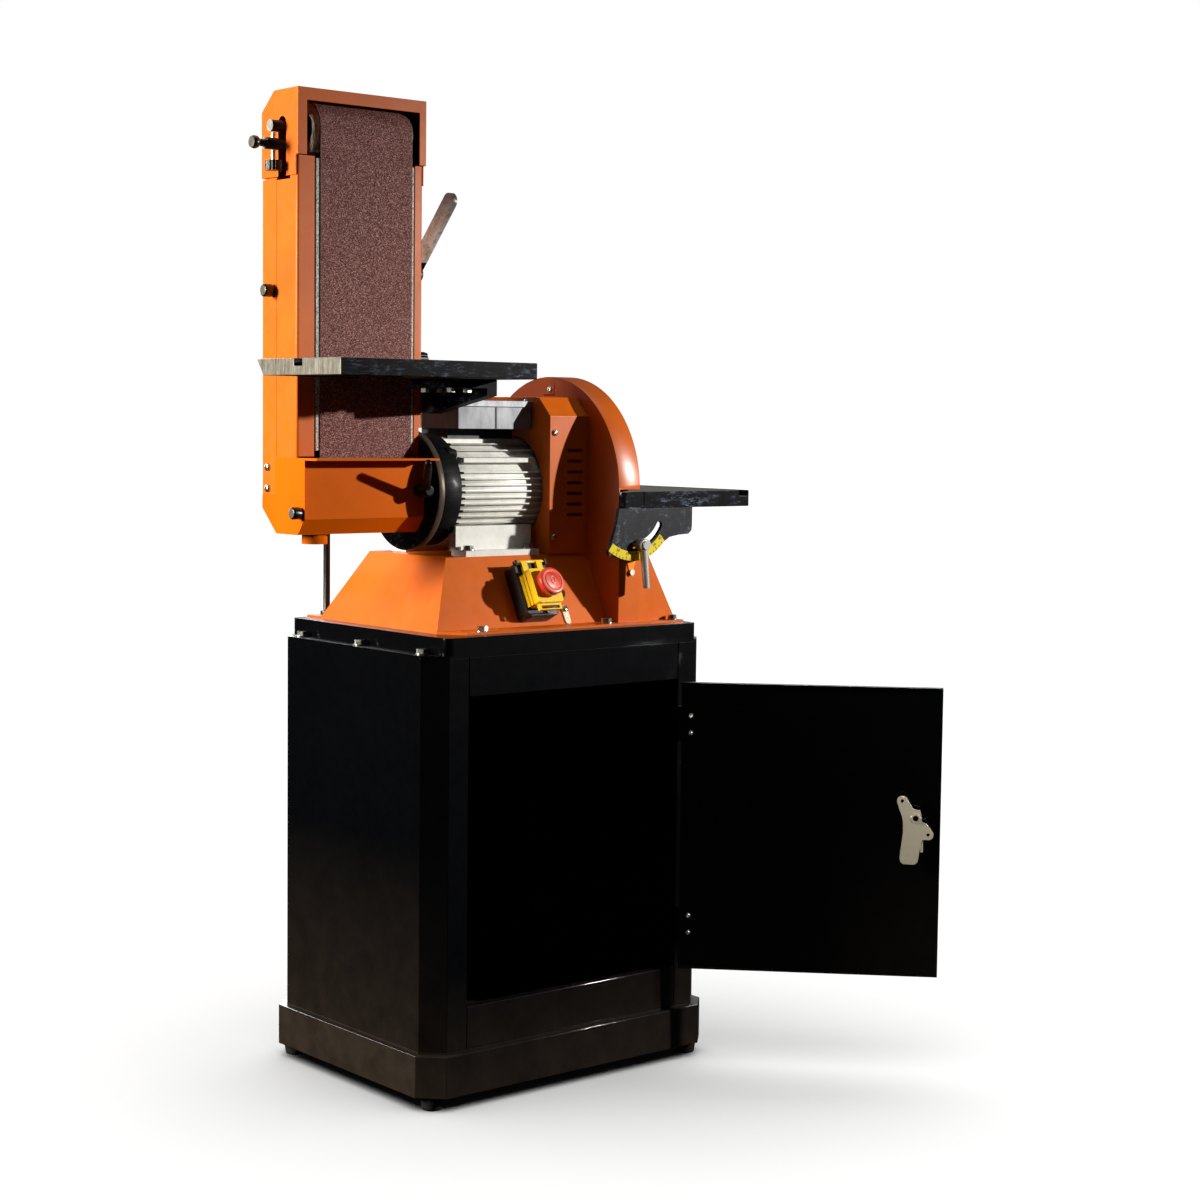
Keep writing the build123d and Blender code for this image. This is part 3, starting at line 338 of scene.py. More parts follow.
# pivot flange: black faces, machined rim
flange = cast_black("flange_black")
_m = flange
_y = _m.math("SUBTRACT", _m.xyz()[1], (10 + SY) / 1000)
_z = _m.math("SUBTRACT", _m.xyz()[2], 0.836)
_r = _m.math("SQRT", _m.math("ADD", _m.math("MULTIPLY", _y, _y), _m.math("MULTIPLY", _z, _z)))
_rim = _m.ramp(_r, 0.0846, 0.0850)
_c = _m.b.inputs["Base Color"].links[0].from_socket
_ring = _m.noise(300, 4, 0.6, (6, 0.3, 0.3))
_m.set("Base Color", _m.mixc(_rim, _c, _m.mixc(_m.ramp(_ring, 0.3, 0.7), lin((108, 96, 84)), lin((62, 54, 47)))))
_m.set("Metallic", _m.math("MULTIPLY", _rim, 0.3))

silver = Mat("motor_silver", (238, 238, 232), 0.42, 0.0, 0.5)
_n = silver.noise(50, 5, 0.65)
silver.set("Base Color", silver.mixc(silver.ramp(_n, 0.35, 0.72), silver.base, lin((214, 214, 206))))
silver.set("Roughness", silver.ramp(_n, 0.3, 0.7, 0.34, 0.5))
silver.bump(silver.noise(500, 3, 0.6), 0.12, 0.0004)

alu = metal("cast_aluminium", (132, 134, 138), 0.46, (1, 1, 0.4), 60, 0.12, 0.84, 0.08)
alu.b.inputs["Metallic"].default_value = 0.55
box_alu = metal("terminal_box_alu", (126, 128, 132), 0.46, (1, 1, 0.4), 60, 0.12, 0.84, 0.08)
_m = box_alu
# the neck under the box is painted near-black, a painted shade for the band under it
_neck_painted_shade = _m.side(2, 923.3, 0.1, False)
_c = _m.b.inputs["Base Color"].links[0].from_socket
_m.set("Base Color", _m.mixc(_neck_painted_shade, _c, lin((10, 10, 11))))
_m.set("Metallic", _m.ramp(_neck_painted_shade, 0, 1, 0.3, 0))
zinc = metal("zinc_plated", (206, 206, 200), 0.24, None, 160, 0.12, 0.7, 0.06)
steel = metal("steel", (150, 150, 150), 0.3, (0.2, 1, 1), 90, 0.14, 0.65, 0.05)
chrome = metal("dark_chrome", (120, 120, 122), 0.16, (0.2, 1, 1), 60, 0.08, 0.6, 0.02)
dark_steel = metal("dark_steel", (66, 66, 68), 0.36, None, 90, 0.14, 0.7, 0.08)
shaft_ends = metal("shaft_with_bright_ends", (52, 50, 50), 0.38, None, 90, 0.14, 0.7, 0.08)
_m = shaft_ends
_end = _m.normal(0, 0.7, 0.9, -1)
_c = _m.b.inputs["Base Color"].links[0].from_socket
_turned = _m.noise(220, 4, 0.6, (1, 0.4, 0.4))
_m.set("Base Color", _m.mixc(_end, _c, _m.mixc(_m.ramp(_turned, 0.35, 0.7), lin((164, 165, 162)), lin((112, 113, 110)))))
_m.set("Metallic", _m.ramp(_end, 0, 1, 0.9, 0.35))
bright_steel = metal("bright_steel", (222, 222, 218), 0.3, (0.2, 1, 1), 90, 0.14, 0.7, 0.05)
bright_steel.b.inputs["Metallic"].default_value = 0.5
copper = metal("winding_copper", (184, 100, 52), 0.35, (1, 3, 3), 120, 0.1, 0.6, 0.2)

lever = Mat("lever_patina_and_painted_shade", (176, 170, 162), 0.34, 0.6)
_n = lever.noise(38, 6, 0.7)
_n2 = lever.noise(95, 5, 0.7, (1, 0.5, 1.4))
_c = lever.mixc(lever.ramp(_n, 0.46, 0.64), lin((214, 216, 214)), lin((176, 150, 108)))
_c = lever.mixc(lever.ramp(_n2, 0.57, 0.7), _c, lin((84, 78, 70)))
# the upper end is painted darker and the crank and hub below 1158 mm near-black: painted shade; the pale patches and
# dark streaks above are patina
_c = lever.mixc(lever.ramp(lever.xyz()[2], 1.185, 1.245, 0, 0.85), _c, lin((52, 48, 43)))
lever.set("Base Color", lever.mixc(lever.side(2, 1158.0, 0.1, False), _c, lin((16, 16, 17))))
lever.set("Roughness", lever.ramp(_n, 0.3, 0.7, 0.26, 0.48))
lever.bump(_n2, 0.15, 0.0004)

p_black = plastic("plastic_black", (13, 13, 14), 0.28, 700, 0.05, 0.8, 0.1)
p_black.b.inputs["Specular IOR Level"].default_value = 0.3
p_yellow = plastic("plastic_yellow", (250, 206, 14), 0.34, 700, 0.05, 0.9, 0.15)
p_red = plastic("plastic_red", (224, 66, 46), 0.34, 700, 0.05, 0.9, 0.2)
_m = p_red
_c = _m.b.inputs["Base Color"].links[0].from_socket
# the face looking to the front is painted a paler red: a painted sheen
_m.set("Base Color", _m.mixc(_m.normal(1, 0.84, 0.885, -1), _c, lin((236, 108, 88))))
p_red_mark = plastic("plastic_red_mark", (244, 156, 138), 0.3, 700, 0.05, 0.9, 0.2)
p_switch = plastic("plastic_switch_box", (46, 46, 48), 0.44, 620, 0.22, 0.62)
p_knob = plastic("plastic_knob", (13, 13, 14), 0.28, 700, 0.05, 0.8, 0.1)
_m = p_knob
_c = _m.b.inputs["Base Color"].links[0].from_socket
# faces looking left are painted pale grey: a painted highlight
_m.set("Base Color", _m.mixc(_m.normal(0, 0.9, 0.97, -1), _c, lin((86, 84, 76))))
p_dark = plastic("plastic_dark", (8, 8, 9), 0.36, 700, 0.05, 0.8)
p_dark.b.inputs["Specular IOR Level"].default_value = 0.14
track = metal("tracking_screw", (206, 206, 200), 0.28, None, 120, 0.1, 0.7, 0.05)
_m = track
_knob = _m.side(2, 1280.2, 0.1, False)
_c = _m.b.inputs["Base Color"].links[0].from_socket
_m.set("Base Color", _m.mixc(_knob, _c, lin((20, 20, 21))))
_m.set("Metallic", _m.ramp(_knob, 0, 1, 0.5, 0))
p_green = plastic("plastic_green", (30, 140, 60), 0.34)
rubber = plastic("rubber_black", (14, 14, 14), 0.7, 400, 0.25, 0.8)
scale_yellow = plastic("scale_yellow", (232, 204, 4), 0.42, 500, 0.05, 0.88)
scale_yellow.b.inputs["Specular IOR Level"].default_value = 0.2
ink = plastic("scale_ink", (16, 16, 16), 0.5)


def grit(name, base, light, dark, scale=1500):
    m = Mat(name, base, 0.78, 0.0, 0.3)
    cell = m.add("ShaderNodeTexVoronoi")
    cell.inputs["Scale"].default_value = scale
    m.link(m.co(), cell.inputs["Vector"])
    hsv = m.add("ShaderNodeSeparateXYZ")
    m.link(cell.outputs["Color"], hsv.inputs[0])
    v = hsv.outputs[0]
    c = m.mixc(m.ramp(v, 0.25, 0.75), lin(dark), m.base)
    c = m.mixc(m.ramp(v, 0.80, 0.90), c, lin(light))
    wear = m.ramp(m.noise(12, 4, 0.6, (1, 1, 0.3)), 0.4, 0.75, 0, 0.25)
    c = m.mixc(wear, c, m.base)
    m.set("Base Color", c)
    m.set("Roughness", m.ramp(v, 0.0, 1.0, 0.9, 0.5))
    m.bump(cell.outputs["Distance"], 0.55, 0.0006)
    return m


belt_grit = grit("abrasive_belt", (124, 66, 62), (226, 176, 162), (66, 28, 30), 1700)
disc_grit = grit("abrasive_disc", (80, 46, 44), (146, 106, 98), (48, 26, 26), 1300)

# platen: dark plate with a pale worn graphite cloth, seen as a speckled strip
cloth = Mat("graphite_cloth", (196, 196, 190), 0.7, 0.0, 0.4)
_v = cloth.ramp(cloth.noise(520, 4, 0.7), 0.34, 0.52)
_w = cloth.ramp(cloth.noise(1200, 2, 0.6), 0.36, 0.5)
cloth.set("Base Color", cloth.mixc(cloth.math("MULTIPLY", _v, _w), lin((60, 57, 54)), lin((240, 240, 232))))
cloth.bump(_v, 0.4, 0.0004)

# lock lever of the disc table: bright metal, hub and handle alike
lock_metal = metal("lock_lever", (228, 227, 222), 0.22, (1, 1, 0.3), 60, 0.1, 0.6, 0.04)
lock_metal.b.inputs["Metallic"].default_value = 0.4

# latch plate: dull zinc with a yellowish passivation
latch_zinc = metal("latch_zinc", (176, 168, 148), 0.36, None, 70, 0.14, 0.78, 0.06)
latch_zinc.b.inputs["Metallic"].default_value = 0.4
earth_metal = metal("earth_plate", (248, 238, 208), 0.26, None, 150, 0.12, 0.86, 0.05)
earth_metal.b.inputs["Metallic"].default_value = 0.35

pointer = paint("orange_pointer", (255, 150, 16), (246, 138, 12))
_m = pointer
_scr = _m.side(1, -158.7, 0.1, False)
_c = _m.b.inputs["Base Color"].links[0].from_socket
_m.set("Base Color", _m.mixc(_scr, _c, lin((196, 196, 190))))
_m.set("Metallic", _scr)

# belt-table bracket bolts: bright hex heads under the plate
_m = bracket_black
_c = _m.b.inputs["Base Color"].links[0].from_socket
_m.set("Base Color", _m.mixc(_hex, _c, lin((190, 190, 184))))
_m.set("Metallic", _hex)

MATS = {
    "rubber_feet": rubber, "plinth": black, "cabinet_floor": black, "cabinet_left_side": black, "cabinet_right_side": black,
    "cabinet_back": black, "cabinet_front_panels": black_front, "cabinet_top": black, "top_tray": black,
    "door_hinge_fixed_leaves": black, "door": black, "machine_base": orange, "cable_gland": p_black, "disc_guard": rim_orange,
    "disc_dust_hopper": orange, "tilt_pointer": pointer, "motor_cover": orange, "motor_body": silver,
    "motor_drive_bell": motor_black, "motor_disc_bell": motor_black, "stator": copper, "motor_bearings": steel,
    "terminal_box": box_alu, "terminal_box_lid": alu, "hex_bolts": zinc, "arm_rest_rod": dark_steel, "switch_box": p_switch,
    "switch_cover": p_yellow, "stop_button": p_red, "start_button": p_green, "rotor_and_shaft": steel, "cooling_fan": p_black,
    "drive_drum": chrome, "disc_plate": alu, "abrasive_disc": disc_grit, "arm_frame": frame_orange, "upper_cover": cover_orange,
    "rear_cover": orange, "lower_guard": guard_orange, "platen": cloth, "sanding_belt": belt_grit, "pivot_flange": flange,
    "cover_knobs": p_knob, "arm_screws": zinc, "tension_springs": steel, "idler_carriage": shaft_ends, "idler_drum": bright_steel,
    "idler_bearings": steel, "tracking_screw": track, "tracking_lock_knob": p_knob, "tension_lever": lever,
    "arm_lock_lever": p_dark, "belt_table": belt_table, "belt_table_bracket": bracket_black, "belt_table_knob": p_black,
    "disc_table": disc_table, "disc_trunnions": trunnion, "disc_table_lock_lever": lock_metal, "latch_cam": latch_zinc,
    "latch_handle": p_black,
}

# sheet edges and casting edges are rounded a little, which is where the light catches them
SOFT = {
    "plinth": 2.2, "cabinet_left_side": 1.6, "cabinet_right_side": 1.6, "cabinet_front_panels": 1.0, "cabinet_top": 2.0,
    "top_tray": 2.0, "door": 0.9, "machine_base": 1.0, "disc_guard": 0.6, "disc_dust_hopper": 0.6, "motor_cover": 0.8,
    "terminal_box": 0.6, "terminal_box_lid": 1.0, "upper_cover": 0.7, "rear_cover": 0.6, "lower_guard": 0.6,
    "belt_table": 1.0, "belt_table_bracket": 0.8, "disc_table": 1.0, "disc_trunnions": 0.8, "switch_box": 1.0,
    "switch_cover": 0.8, "stop_button": 0.5, "tension_lever": 0.8, "pivot_flange": 0.8, "motor_drive_bell": 1.0,
    "hex_bolts": 0.4, "latch_cam": 0.4, "cover_knobs": 0.6, "latch_handle": 0.8, "rubber_feet": 0.8, "arm_rest_rod": 0.5,
    "motor_body": 0.3, "platen": 0.5, "arm_lock_lever": 0.5, "disc_table_lock_lever": 0.6, "tracking_lock_knob": 0.4,
    "idler_carriage": 0.5, "arm_frame": 0.5, "door_hinge_fixed_leaves": 0.4, "idler_drum": 0.8, "sanding_belt": 0.0,
}


def soften(obj, mm, flat=True):
    w = obj.modifiers.new("weld", "WELD")
    w.merge_threshold = 0.00002
    if flat:
        d = obj.modifiers.new("flat", "DECIMATE")
        d.decimate_type = "DISSOLVE"
        d.angle_limit = math.radians(0.6)
    b = obj.modifiers.new("edge", "BEVEL")
    b.width = mm / 1000
    b.segments = 3 if mm > 1.5 else 2
    b.limit_method = "ANGLE"
    b.angle_limit = math.radians(38)
    b.use_clamp_overlap = True
    b.harden_normals = True
    b.miter_outer = "MITER_ARC"


for name, obj in N.items():
    for s in obj.material_slots:
        s.material = MATS[name].m
    if SOFT.get(name):
        soften(obj, SOFT[name], name not in ("motor_cover", "terminal_box", "disc_guard"))

# ------------------------------------------------------------------ small pieces
FACE_O = Vector((-26.0, -110.70, 688.80))
FACE_V = Vector((0, 0.4614, 0.8872))
FACE_N = Vector((0, -0.8872, 0.4614))


def on_face(u, v, n):
    q = FACE_O + Vector((u, 0, 0)) + FACE_V * v + FACE_N * n
    return P(*q)


def turn_to(normal, spin=0.0):
    """Rotation that takes +Z to a direction, spun about it first."""
    q = Vector((0, 0, 1)).rotation_difference(Vector(normal).normalized())
    return q.to_matrix().to_4x4() @ Matrix.Rotation(math.radians(spin), 4, "Z")


def lathe(bm, prof, seg=32):
    """Closed turned shape about Z from (radius, height) points, first and last on the axis."""
    rings = []
    for r, z in prof:
        if r < 1e-9:
            rings.append([bm.verts.new((0, 0, z))])
        else:
            rings.append([bm.verts.new((r * math.cos(2 * math.pi * i / seg), r * math.sin(2 * math.pi * i / seg), z)) for i in range(seg)])
    for a, b in zip(rings, rings[1:]):
        for i in range(seg):
            j = (i + 1) % seg
            if len(a) == 1:
                bm.faces.new((a[0], b[j], b[i]))
            elif len(b) == 1:
                bm.faces.new((a[i], a[j], b[0]))
            else:
                bm.faces.new((a[i], a[j], b[j], b[i]))
    bmesh.ops.recalc_face_normals(bm, faces=bm.faces)


def brick(bm, sx, sy, z0, z1, m=None):
    vs = [bm.verts.new((x, y, z)) for z in (z0, z1) for x, y in ((-sx, -sy), (sx, -sy), (sx, sy), (-sx, sy))]
    if m is not None:
        for v in vs:
            v.co = m @ v.co
    for f in ((3, 2, 1, 0), (4, 5, 6, 7), (0, 1, 5, 4), (1, 2, 6, 5), (2, 3, 7, 6), (3, 0, 4, 7)):
        bm.faces.new([vs[i] for i in f])


def to_mesh(bm, name):
    me = bpy.data.meshes.new(name)
    bm.to_mesh(me)
    bm.free()
    return me


def pan_head():
    """Pan head of radius 1 with a cross recess."""
    bm = bmesh.new()
    lathe(bm, [(0, 0), (0.96, 0), (1, 0.05), (1, 0.22), (0.93, 0.42), (0.78, 0.56), (0.5, 0.66), (0.25, 0.7), (0, 0.71)], 40)
    head = bpy.data.objects.new("head", to_mesh(bm, "head"))
    bm = bmesh.new()
    brick(bm, 0.6, 0.13, 0.36, 1.2)
    c1 = bpy.data.objects.new("c1", to_mesh(bm, "c1"))
    bm = bmesh.new()
    brick(bm, 0.13, 0.6, 0.36, 1.2)
    c2 = bpy.data.objects.new("c2", to_mesh(bm, "c2"))
    for o in (head, c1, c2):
        SCN.collection.objects.link(o)
    for c in (c1, c2):
        b = head.modifiers.new("cut", "BOOLEAN")
        b.operation, b.object, b.solver = "DIFFERENCE", c, "EXACT"
    bpy.context.view_layer.update()
    me = bpy.data.meshes.new_from_object(head.evaluated_get(bpy.context.evaluated_depsgraph_get()))
    for o in (head, c1, c2):
        bpy.data.objects.remove(o)
    return me


PAN = pan_head()


def piece(name, me, mat, body, smooth=35):
    me.materials.clear()
    me.materials.append(mat.m)
    for f in me.polygons:
        f.use_smooth = True
    me.set_sharp_from_angle(angle=math.radians(smooth))
    o = bpy.data.objects.new(name, me)
    SCN.collection.objects.link(o)
    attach(o, body)
    return o


def stamp(name, src, places, mat, body):
    """Copies of one small mesh as a single piece: (point in metres, direction, radius in mm, spin)."""
    bm = bmesh.new()
    for at, nrm, r, spin in places:
        m = Matrix.Translation(at) @ turn_to(nrm, spin) @ Matrix.Scale(r / 1000, 4)
        n0 = len(bm.verts)
        bm.from_mesh(src)
        bm.verts.ensure_lookup_table()
        for v in bm.verts[n0:]:
            v.co = m @ v.co
    return piece(name, to_mesh(bm, name), mat, body)


LEFT, RIGHT, FRONT, BACK, UP = (-1, 0, 0), (1, 0, 0), (0, -1, 0), (0, 1, 0), (0, 0, 1)

o = stamp("arm_screws_pan", PAN, [(P(-355, 48, 868), LEFT, 5.6, 12), (P(-355, 48, 839), LEFT, 5.6, 40),
                                  (P(-150, 51, 1232), RIGHT, 5.2, 20), (P(-150, 51, 950), RIGHT, 5.2, 65)], zinc, "arm")
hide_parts("arm_screws")

SHEET_SCREWS = [(P(105, 6, 982), LEFT, 4.6, 20), (P(42, -85, 919), FRONT, 4.8, 15), (P(42, 105, 919), BACK, 4.8, 50),
                (P(42, -85, 768), FRONT, 4.8, 70), (P(42, 105, 768), BACK, 4.8, 5)]
SHEET_SCREWS += [(P(x, y, 964), UP, 3.4, 17 * i) for i, (x, y) in enumerate(((-97, -40.5), (24, -40.5), (-97, 60.5), (24, 60.5)))]
SHEET_SCREWS += [(P(x, 194, z), BACK, 4.4, 13 * i) for i, (x, z) in enumerate(((-222, 110), (222, 110), (-222, 350), (222, 350), (-222, 590), (222, 590)))]
SHEET_SCREWS += [(P(207, -196, z), FRONT, 3.4, 9 * z) for z in (513, 484, 219, 190)]
stamp("sheet_screws", PAN, SHEET_SCREWS, zinc, "stand")

# door: hinge screws seen from inside and from outside, turned with the open door
HINGE = P(190.25, -199, 0)
OPEN = Matrix.Translation(HINGE) @ Matrix.Rotation(math.radians(134), 4, "Z") @ Matrix.Translation(-HINGE)
ins = (OPEN.to_3x3() @ Vector(BACK))
outs = (OPEN.to_3x3() @ Vector(FRONT))
DS = [(OPEN @ P(174.5, -192, z), ins, 4.2, 11 * i) for i, z in enumerate((511, 486, 217, 192))]
DS += [(OPEN @ P(174.5, -196, z), outs, 3.6, 7 * i) for i, z in enumerate((513, 484, 219, 190))]
door_screws = stamp("door_screws", PAN, DS, zinc, "door")

# cast arms that carry the disc table's ends past the disc, joined to the table and the trunnions
bm = bmesh.new()
for ya, yb in ((-171.0, -158.5), (180.5, 193.0)):
    out = [(104, 812.4), (104, 830), (107, 835), (110, 836), (139, 836), (139, 812.4)]
    a = [bm.verts.new(P(x, ya, z)) for x, z in out]
    b = [bm.verts.new(P(x, yb, z)) for x, z in out]
    bm.faces.new(a)
    bm.faces.new(b[::-1])
    for i in range(len(out)):
        j = (i + 1) % len(out)
        bm.faces.new((a[i], b[i], b[j], a[j]))
bmesh.ops.recalc_face_normals(bm, faces=bm.faces)
o = piece("disc_table_end_arms", to_mesh(bm, "disc_table_end_arms"), disc_table, "disc_table")
soften(o, 1.0)

# tilt scale on the front trunnion
TX, TZ = 120.0, 815.0


def arc_strip(r0, r1, a0, a1, y0, y1, n=48):
    bm = bmesh.new()
    prev = None
    for i in range(n + 1):
        a = math.radians(a0 + (a1 - a0) * i / n)
        ring = [bm.verts.new(P(TX + r * math.cos(a), y, TZ + r * math.sin(a))) for r, y in ((r0, y0), (r1, y0), (r1, y1), (r0, y1))]
        if prev:
            for k in range(4):
                j = (k + 1) % 4
                bm.faces.new((prev[k], prev[j], ring[j], ring[k]))
        else:
            bm.faces.new(ring)
        prev = ring
    bm.faces.new(prev[::-1])
    bmesh.ops.recalc_face_normals(bm, faces=bm.faces)
    return bm


piece("tilt_scale", to_mesh(arc_strip(65.0, 78.2, -126.2, -39.5, -170.7, -170.0), "tilt_scale"), scale_yellow, "disc_table")

bm = bmesh.new()
for t in range(-35, 46, 5):
    a = math.radians(-84.8 + t)
    ln = 5.2 if t % 15 == 0 else 3.0
    m = Matrix.Translation(P(TX, -170.85, TZ)) @ Matrix.Rotation(-a, 4, "Y") @ Matrix.Translation((0.0778 - ln / 2000, 0, 0))
    brick(bm, ln / 2000, 0.00018, -0.00035, 0.00035, m)
for t in (-30, -15, 0, 15, 30, 45):
    cu = bpy.data.curves.new("digits", "FONT")
    cu.body = str(abs(t))
    cu.size = 0.0062
    cu.align_x, cu.align_y = "CENTER", "CENTER"
    cu.extrude = 0.0001
    t_ob = bpy.data.objects.new("digits", cu)
    SCN.collection.objects.link(t_ob)
    bpy.context.view_layer.update()
    t_me = bpy.data.meshes.new_from_object(t_ob.evaluated_get(bpy.context.evaluated_depsgraph_get()))
    bpy.data.objects.remove(t_ob)
    a = math.radians(-84.8 + min(t, 42))
    m = (Matrix.Translation(P(TX + 69 * math.cos(a), -170.85, TZ + 69 * math.sin(a)))
         @ Matrix.Rotation(math.pi / 2, 4, "X") @ Matrix.Rotation(a + math.pi / 2, 4, "Z"))
    n0 = len(bm.verts)
    bm.from_mesh(t_me)
    bm.verts.ensure_lookup_table()
    for v in bm.verts[n0:]:
        v.co = m @ v.co
piece("tilt_scale_marks", to_mesh(bm, "tilt_scale_marks"), ink, "disc_table")


def tube(bm, pts, r, closed=False, seg=12):
    """Round wire through points."""
    n = len(pts)
    rings = []
    for i, p in enumerate(pts):
        a = pts[(i - 1) % n] if closed or i > 0 else p
        b = pts[(i + 1) % n] if closed or i < n - 1 else p
        d = (b - a).normalized()
        ref = Vector((1, 0, 0)) if abs(d.x) < 0.9 else Vector((0, 0, 1))
        e1 = d.cross(ref).normalized()
        e2 = d.cross(e1)
        rings.append([bm.verts.new(p + r * (math.cos(2 * math.pi * k / seg) * e1 + math.sin(2 * math.pi * k / seg) * e2)) for k in range(seg)])
    pairs = list(zip(rings, rings[1:])) + ([(rings[-1], rings[0])] if closed else [])
    for a, b in pairs:
        best = min(range(seg), key=lambda s: sum((a[k].co - b[(k + s) % seg].co).length_squared for k in range(0, seg, 3)))
        for k in range(seg):
            bm.faces.new((a[k], a[(k + 1) % seg], b[(k + 1 + best) % seg], b[(k + best) % seg]))
    if not closed:
        bm.faces.new(rings[0])
        bm.faces.new(rings[-1])
    bmesh.ops.recalc_face_normals(bm, faces=bm.faces)


# raised nought on the stop button
bm = bmesh.new()
tube(bm, [on_face(3.3 * math.cos(math.radians(a)), -4.5 + 5.4 * math.sin(math.radians(a)), 64.0) for a in range(0, 360, 12)], 0.0008, True)
piece("stop_nought", to_mesh(bm, "stop_nought"), p_red_mark, "stop_button")

# hasp for a padlock on the side of the switch cover: wire loop and its eye plate
bm = bmesh.new()
tube(bm, [on_face(31.5 + 4.4 * math.cos(math.radians(a)), -14 + 6.4 * math.sin(math.radians(a)), 35 + 2.5 * math.sin(math.radians(a))) for a in range(0, 360, 15)], 0.0024, True)
tube(bm, [on_face(23.5, -11, 33), on_face(25.5, -11, 33.5), on_face(27.5, -12, 34.5)], 0.0026)
piece("switch_hasp", to_mesh(bm, "switch_hasp"), chrome, "switch_cover")

# earth terminal beside the switch: long plate with a screw
bm = bmesh.new()
out = []
for a in range(0, 360, 15):
    c, s = math.cos(math.radians(a)), math.sin(math.radians(a))
    out.append((5.6 * c, 5.6 * s + (9 if s >= 0 else -9)))
lo = [bm.verts.new(on_face(58 + u, -33.5 + v, 0.0)) for u, v in out]
mid = [bm.verts.new(on_face(58 + u, -33.5 + v, 1.5)) for u, v in out]
hi = [bm.verts.new(on_face(58 + 0.86 * u, -33.5 + 0.95 * v, 2.2)) for u, v in out]
bm.faces.new(lo[::-1])
bm.faces.new(hi)
for a, b in ((lo, mid), (mid, hi)):
    for i in range(len(a)):
        j = (i + 1) % len(a)
        bm.faces.new((a[i], a[j], b[j], b[i]))
bmesh.ops.recalc_face_normals(bm, faces=bm.faces)
piece("earth_plate", to_mesh(bm, "earth_plate"), earth_metal, "stand")
stamp("earth_screw", PAN, [(on_face(58, -25.2, 2.1), FACE_N, 5.0, 30), (on_face(4, -37, 21.0), FACE_N, 2.5, 45)], zinc, "stand")

# ------------------------------------------------------------------ floor and light
me = bpy.data.meshes.new("floor")
me.from_pydata([(-40, -40, 0), (40, -40, 0), (40, 40, 0), (-40, 40, 0)], [], [(0, 1, 2, 3)])
floor = bpy.data.objects.new("floor", me)
SCN.collection.objects.link(floor)
fm = Mat("floor", (246, 246, 245), 0.7, 0.0, 0.1)
fm.set("Roughness", fm.ramp(fm.noise(3, 3), 0.3, 0.7, 0.62, 0.78))
me.materials.append(fm.m)
floor.visible_diffuse = False
floor.visible_glossy = False

w = bpy.data.worlds.new("world")
SCN.world = w
w.use_nodes = True
bg = w.node_tree.nodes["Background"]
bg.inputs["Color"].default_value = (1, 1, 1, 1)
lp = w.node_tree.nodes.new("ShaderNodeLightPath")
mr = w.node_tree.nodes.new("ShaderNodeMapRange")
mr.inputs["To Min"].default_value = 0.02
mr.inputs["To Max"].default_value = 1.0
w.node_tree.links.new(lp.outputs["Is Camera Ray"], mr.inputs["Value"])
w.node_tree.links.new(mr.outputs[0], bg.inputs["Strength"])

body_only = bpy.data.collections.new("lit_by_studio")
floor_only = bpy.data.collections.new("lit_floor")
floor_only.objects.link(floor)


def area(name, at, to, size, power, color=(1, 1, 1), size_y=None, only=None):
    l = bpy.data.lights.new(name, "AREA")
    l.shape = "DISK" if size_y is None else "RECTANGLE"
    l.size = size
    if size_y is not None:
        l.size_y = size_y
    l.energy = power
    l.color = color
    o = bpy.data.objects.new(name, l)
    SCN.collection.objects.link(o)
    o.location = at
    o.rotation_euler = (Vector(at) - Vector(to)).to_track_quat("Z", "Y").to_euler()
    if only is not None:
        o.light_linking.receiver_collection = only
    return o


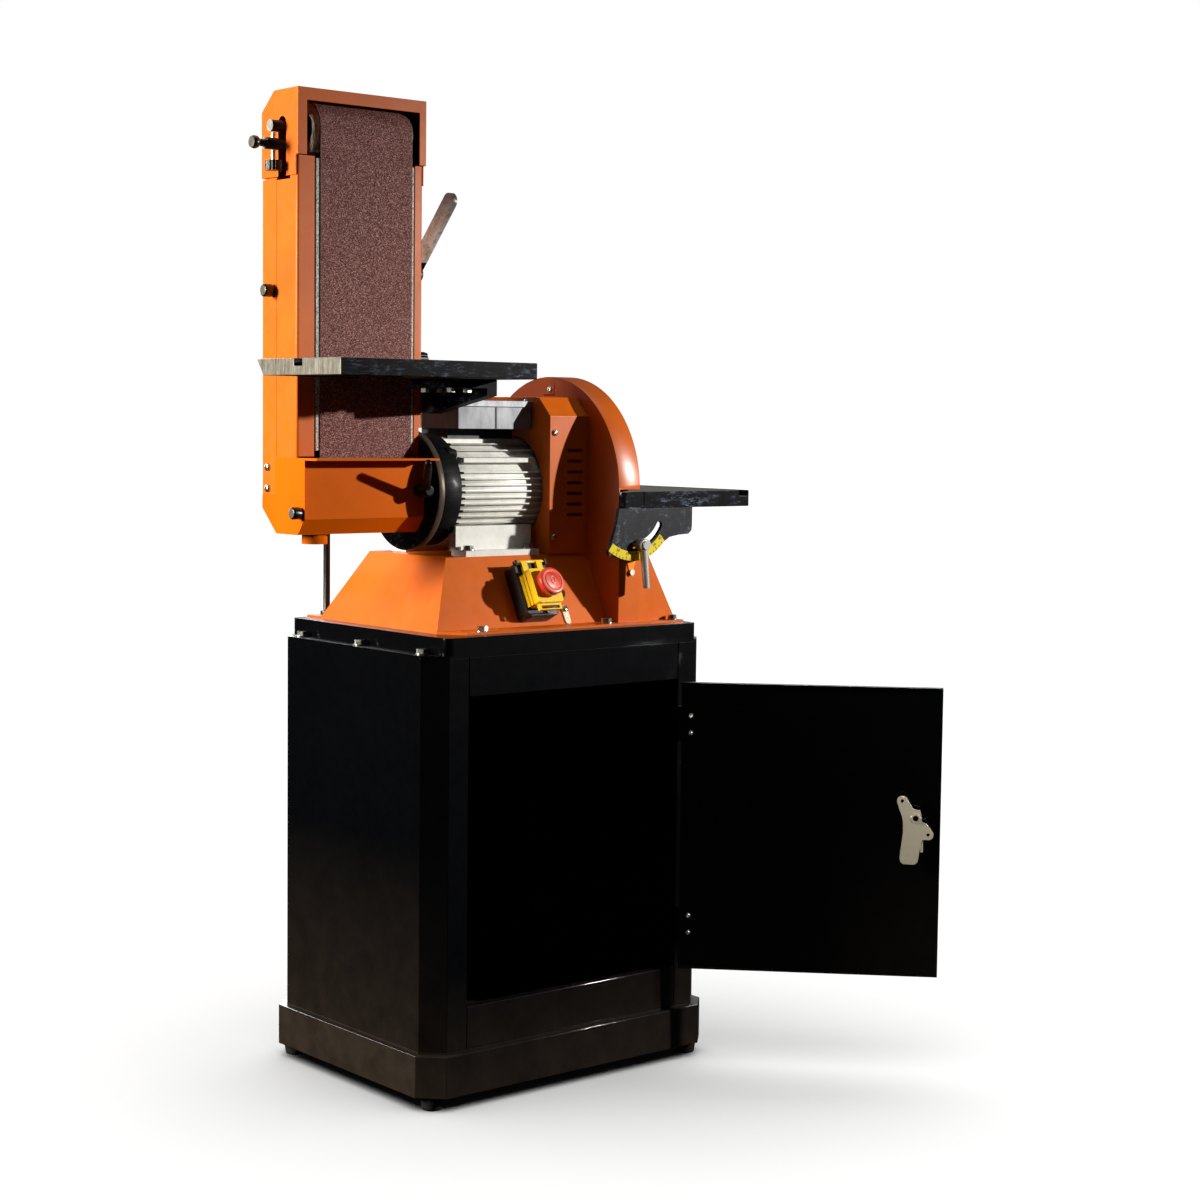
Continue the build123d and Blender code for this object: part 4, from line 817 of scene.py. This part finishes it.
kl = bpy.data.lights.new("key", "SPOT")
kl.energy = 325
kl.color = (1.0, 0.97, 0.93)
kl.spot_size = math.radians(50)
kl.spot_blend = 1.0
kl.shadow_soft_size = 0.035
key = bpy.data.objects.new("key", kl)
SCN.collection.objects.link(key)
key.location = P(1712, -1836, 1435)
key.rotation_euler = (key.location - P(-60, -100, 620)).to_track_quat("Z", "Y").to_euler()
key.light_linking.receiver_collection = body_only
left_main = bpy.data.collections.new("lit_left")
left_far = bpy.data.collections.new("lit_left_far")
side = area("left", P(-2760, 900, 1550), P(-200, 30, 950), 0.7, 192, (1.0, 0.94, 0.82), 1.1, only=left_main)
side_far = area("left_far", P(-2760, 900, 1550), P(-200, 30, 950), 0.7, 100, (1.0, 0.94, 0.86), 1.1, only=left_far)
left_mid = bpy.data.collections.new("lit_left_mid")
side_mid = area("left_mid", P(-2760, 900, 1550), P(-200, 30, 950), 0.7, 26, (1.0, 0.94, 0.86), 1.1, only=left_mid)
lever_only = bpy.data.collections.new("lit_lever")
lever_only.objects.link(N["tension_lever"])
lever_light = area("lever_fill", P(-1500, -700, 1000), P(-114, 0, 1190), 0.35, 22, (1.0, 0.98, 0.94), 0.35, only=lever_only)
lever_light.light_linking.blocker_collection = lever_only
door_only = bpy.data.collections.new("lit_door_metal")
door_only.objects.link(N["latch_cam"])
door_only.objects.link(door_screws)
area("door_fill", P(-900, -2300, 900), P(330, -380, 330), 0.35, 24, (1.0, 0.98, 0.94), 0.35, only=door_only)
back = area("back", P(700, 3600, 1900), P(0, 0, 800), 2.4, 130, (0.96, 0.98, 1.0), 2.4, only=body_only)
top = area("top", P(0, 0, 3600), P(0, 0, 900), 2.2, 16, (1, 1, 1), 2.2, only=body_only)
black_only = bpy.data.collections.new("lit_black")
for k in ("plinth", "cabinet_left_side", "cabinet_right_side", "cabinet_front_panels", "cabinet_top", "top_tray", "door"):
    black_only.objects.link(N[k])
panel = area("edge_panel", P(1300, 2400, 2800), P(0, 0, 600), 4.4, 650, (0.95, 0.98, 1.0), 2.0, only=black_only)
panel.visible_diffuse = False
sun = bpy.data.lights.new("floor_light", "SUN")
sun.energy = 3.9
sun.angle = math.radians(100)
so = bpy.data.objects.new("floor_light", sun)
SCN.collection.objects.link(so)
so.light_linking.receiver_collection = floor_only

SCN.view_settings.view_transform = "Standard"
SCN.view_settings.look = "None"

MID = {N[k].name for k in ("disc_guard", "motor_cover", "motor_drive_bell", "pivot_flange")}
FAR = {N[k].name for k in ("cabinet_left_side", "cabinet_front_panels", "cabinet_top", "top_tray")}
for o in SCN.objects:
    if o.type == "MESH" and o is not floor:
        body_only.objects.link(o)
        (left_mid if o.name in MID else left_far if o.name in FAR else left_main).objects.link(o)
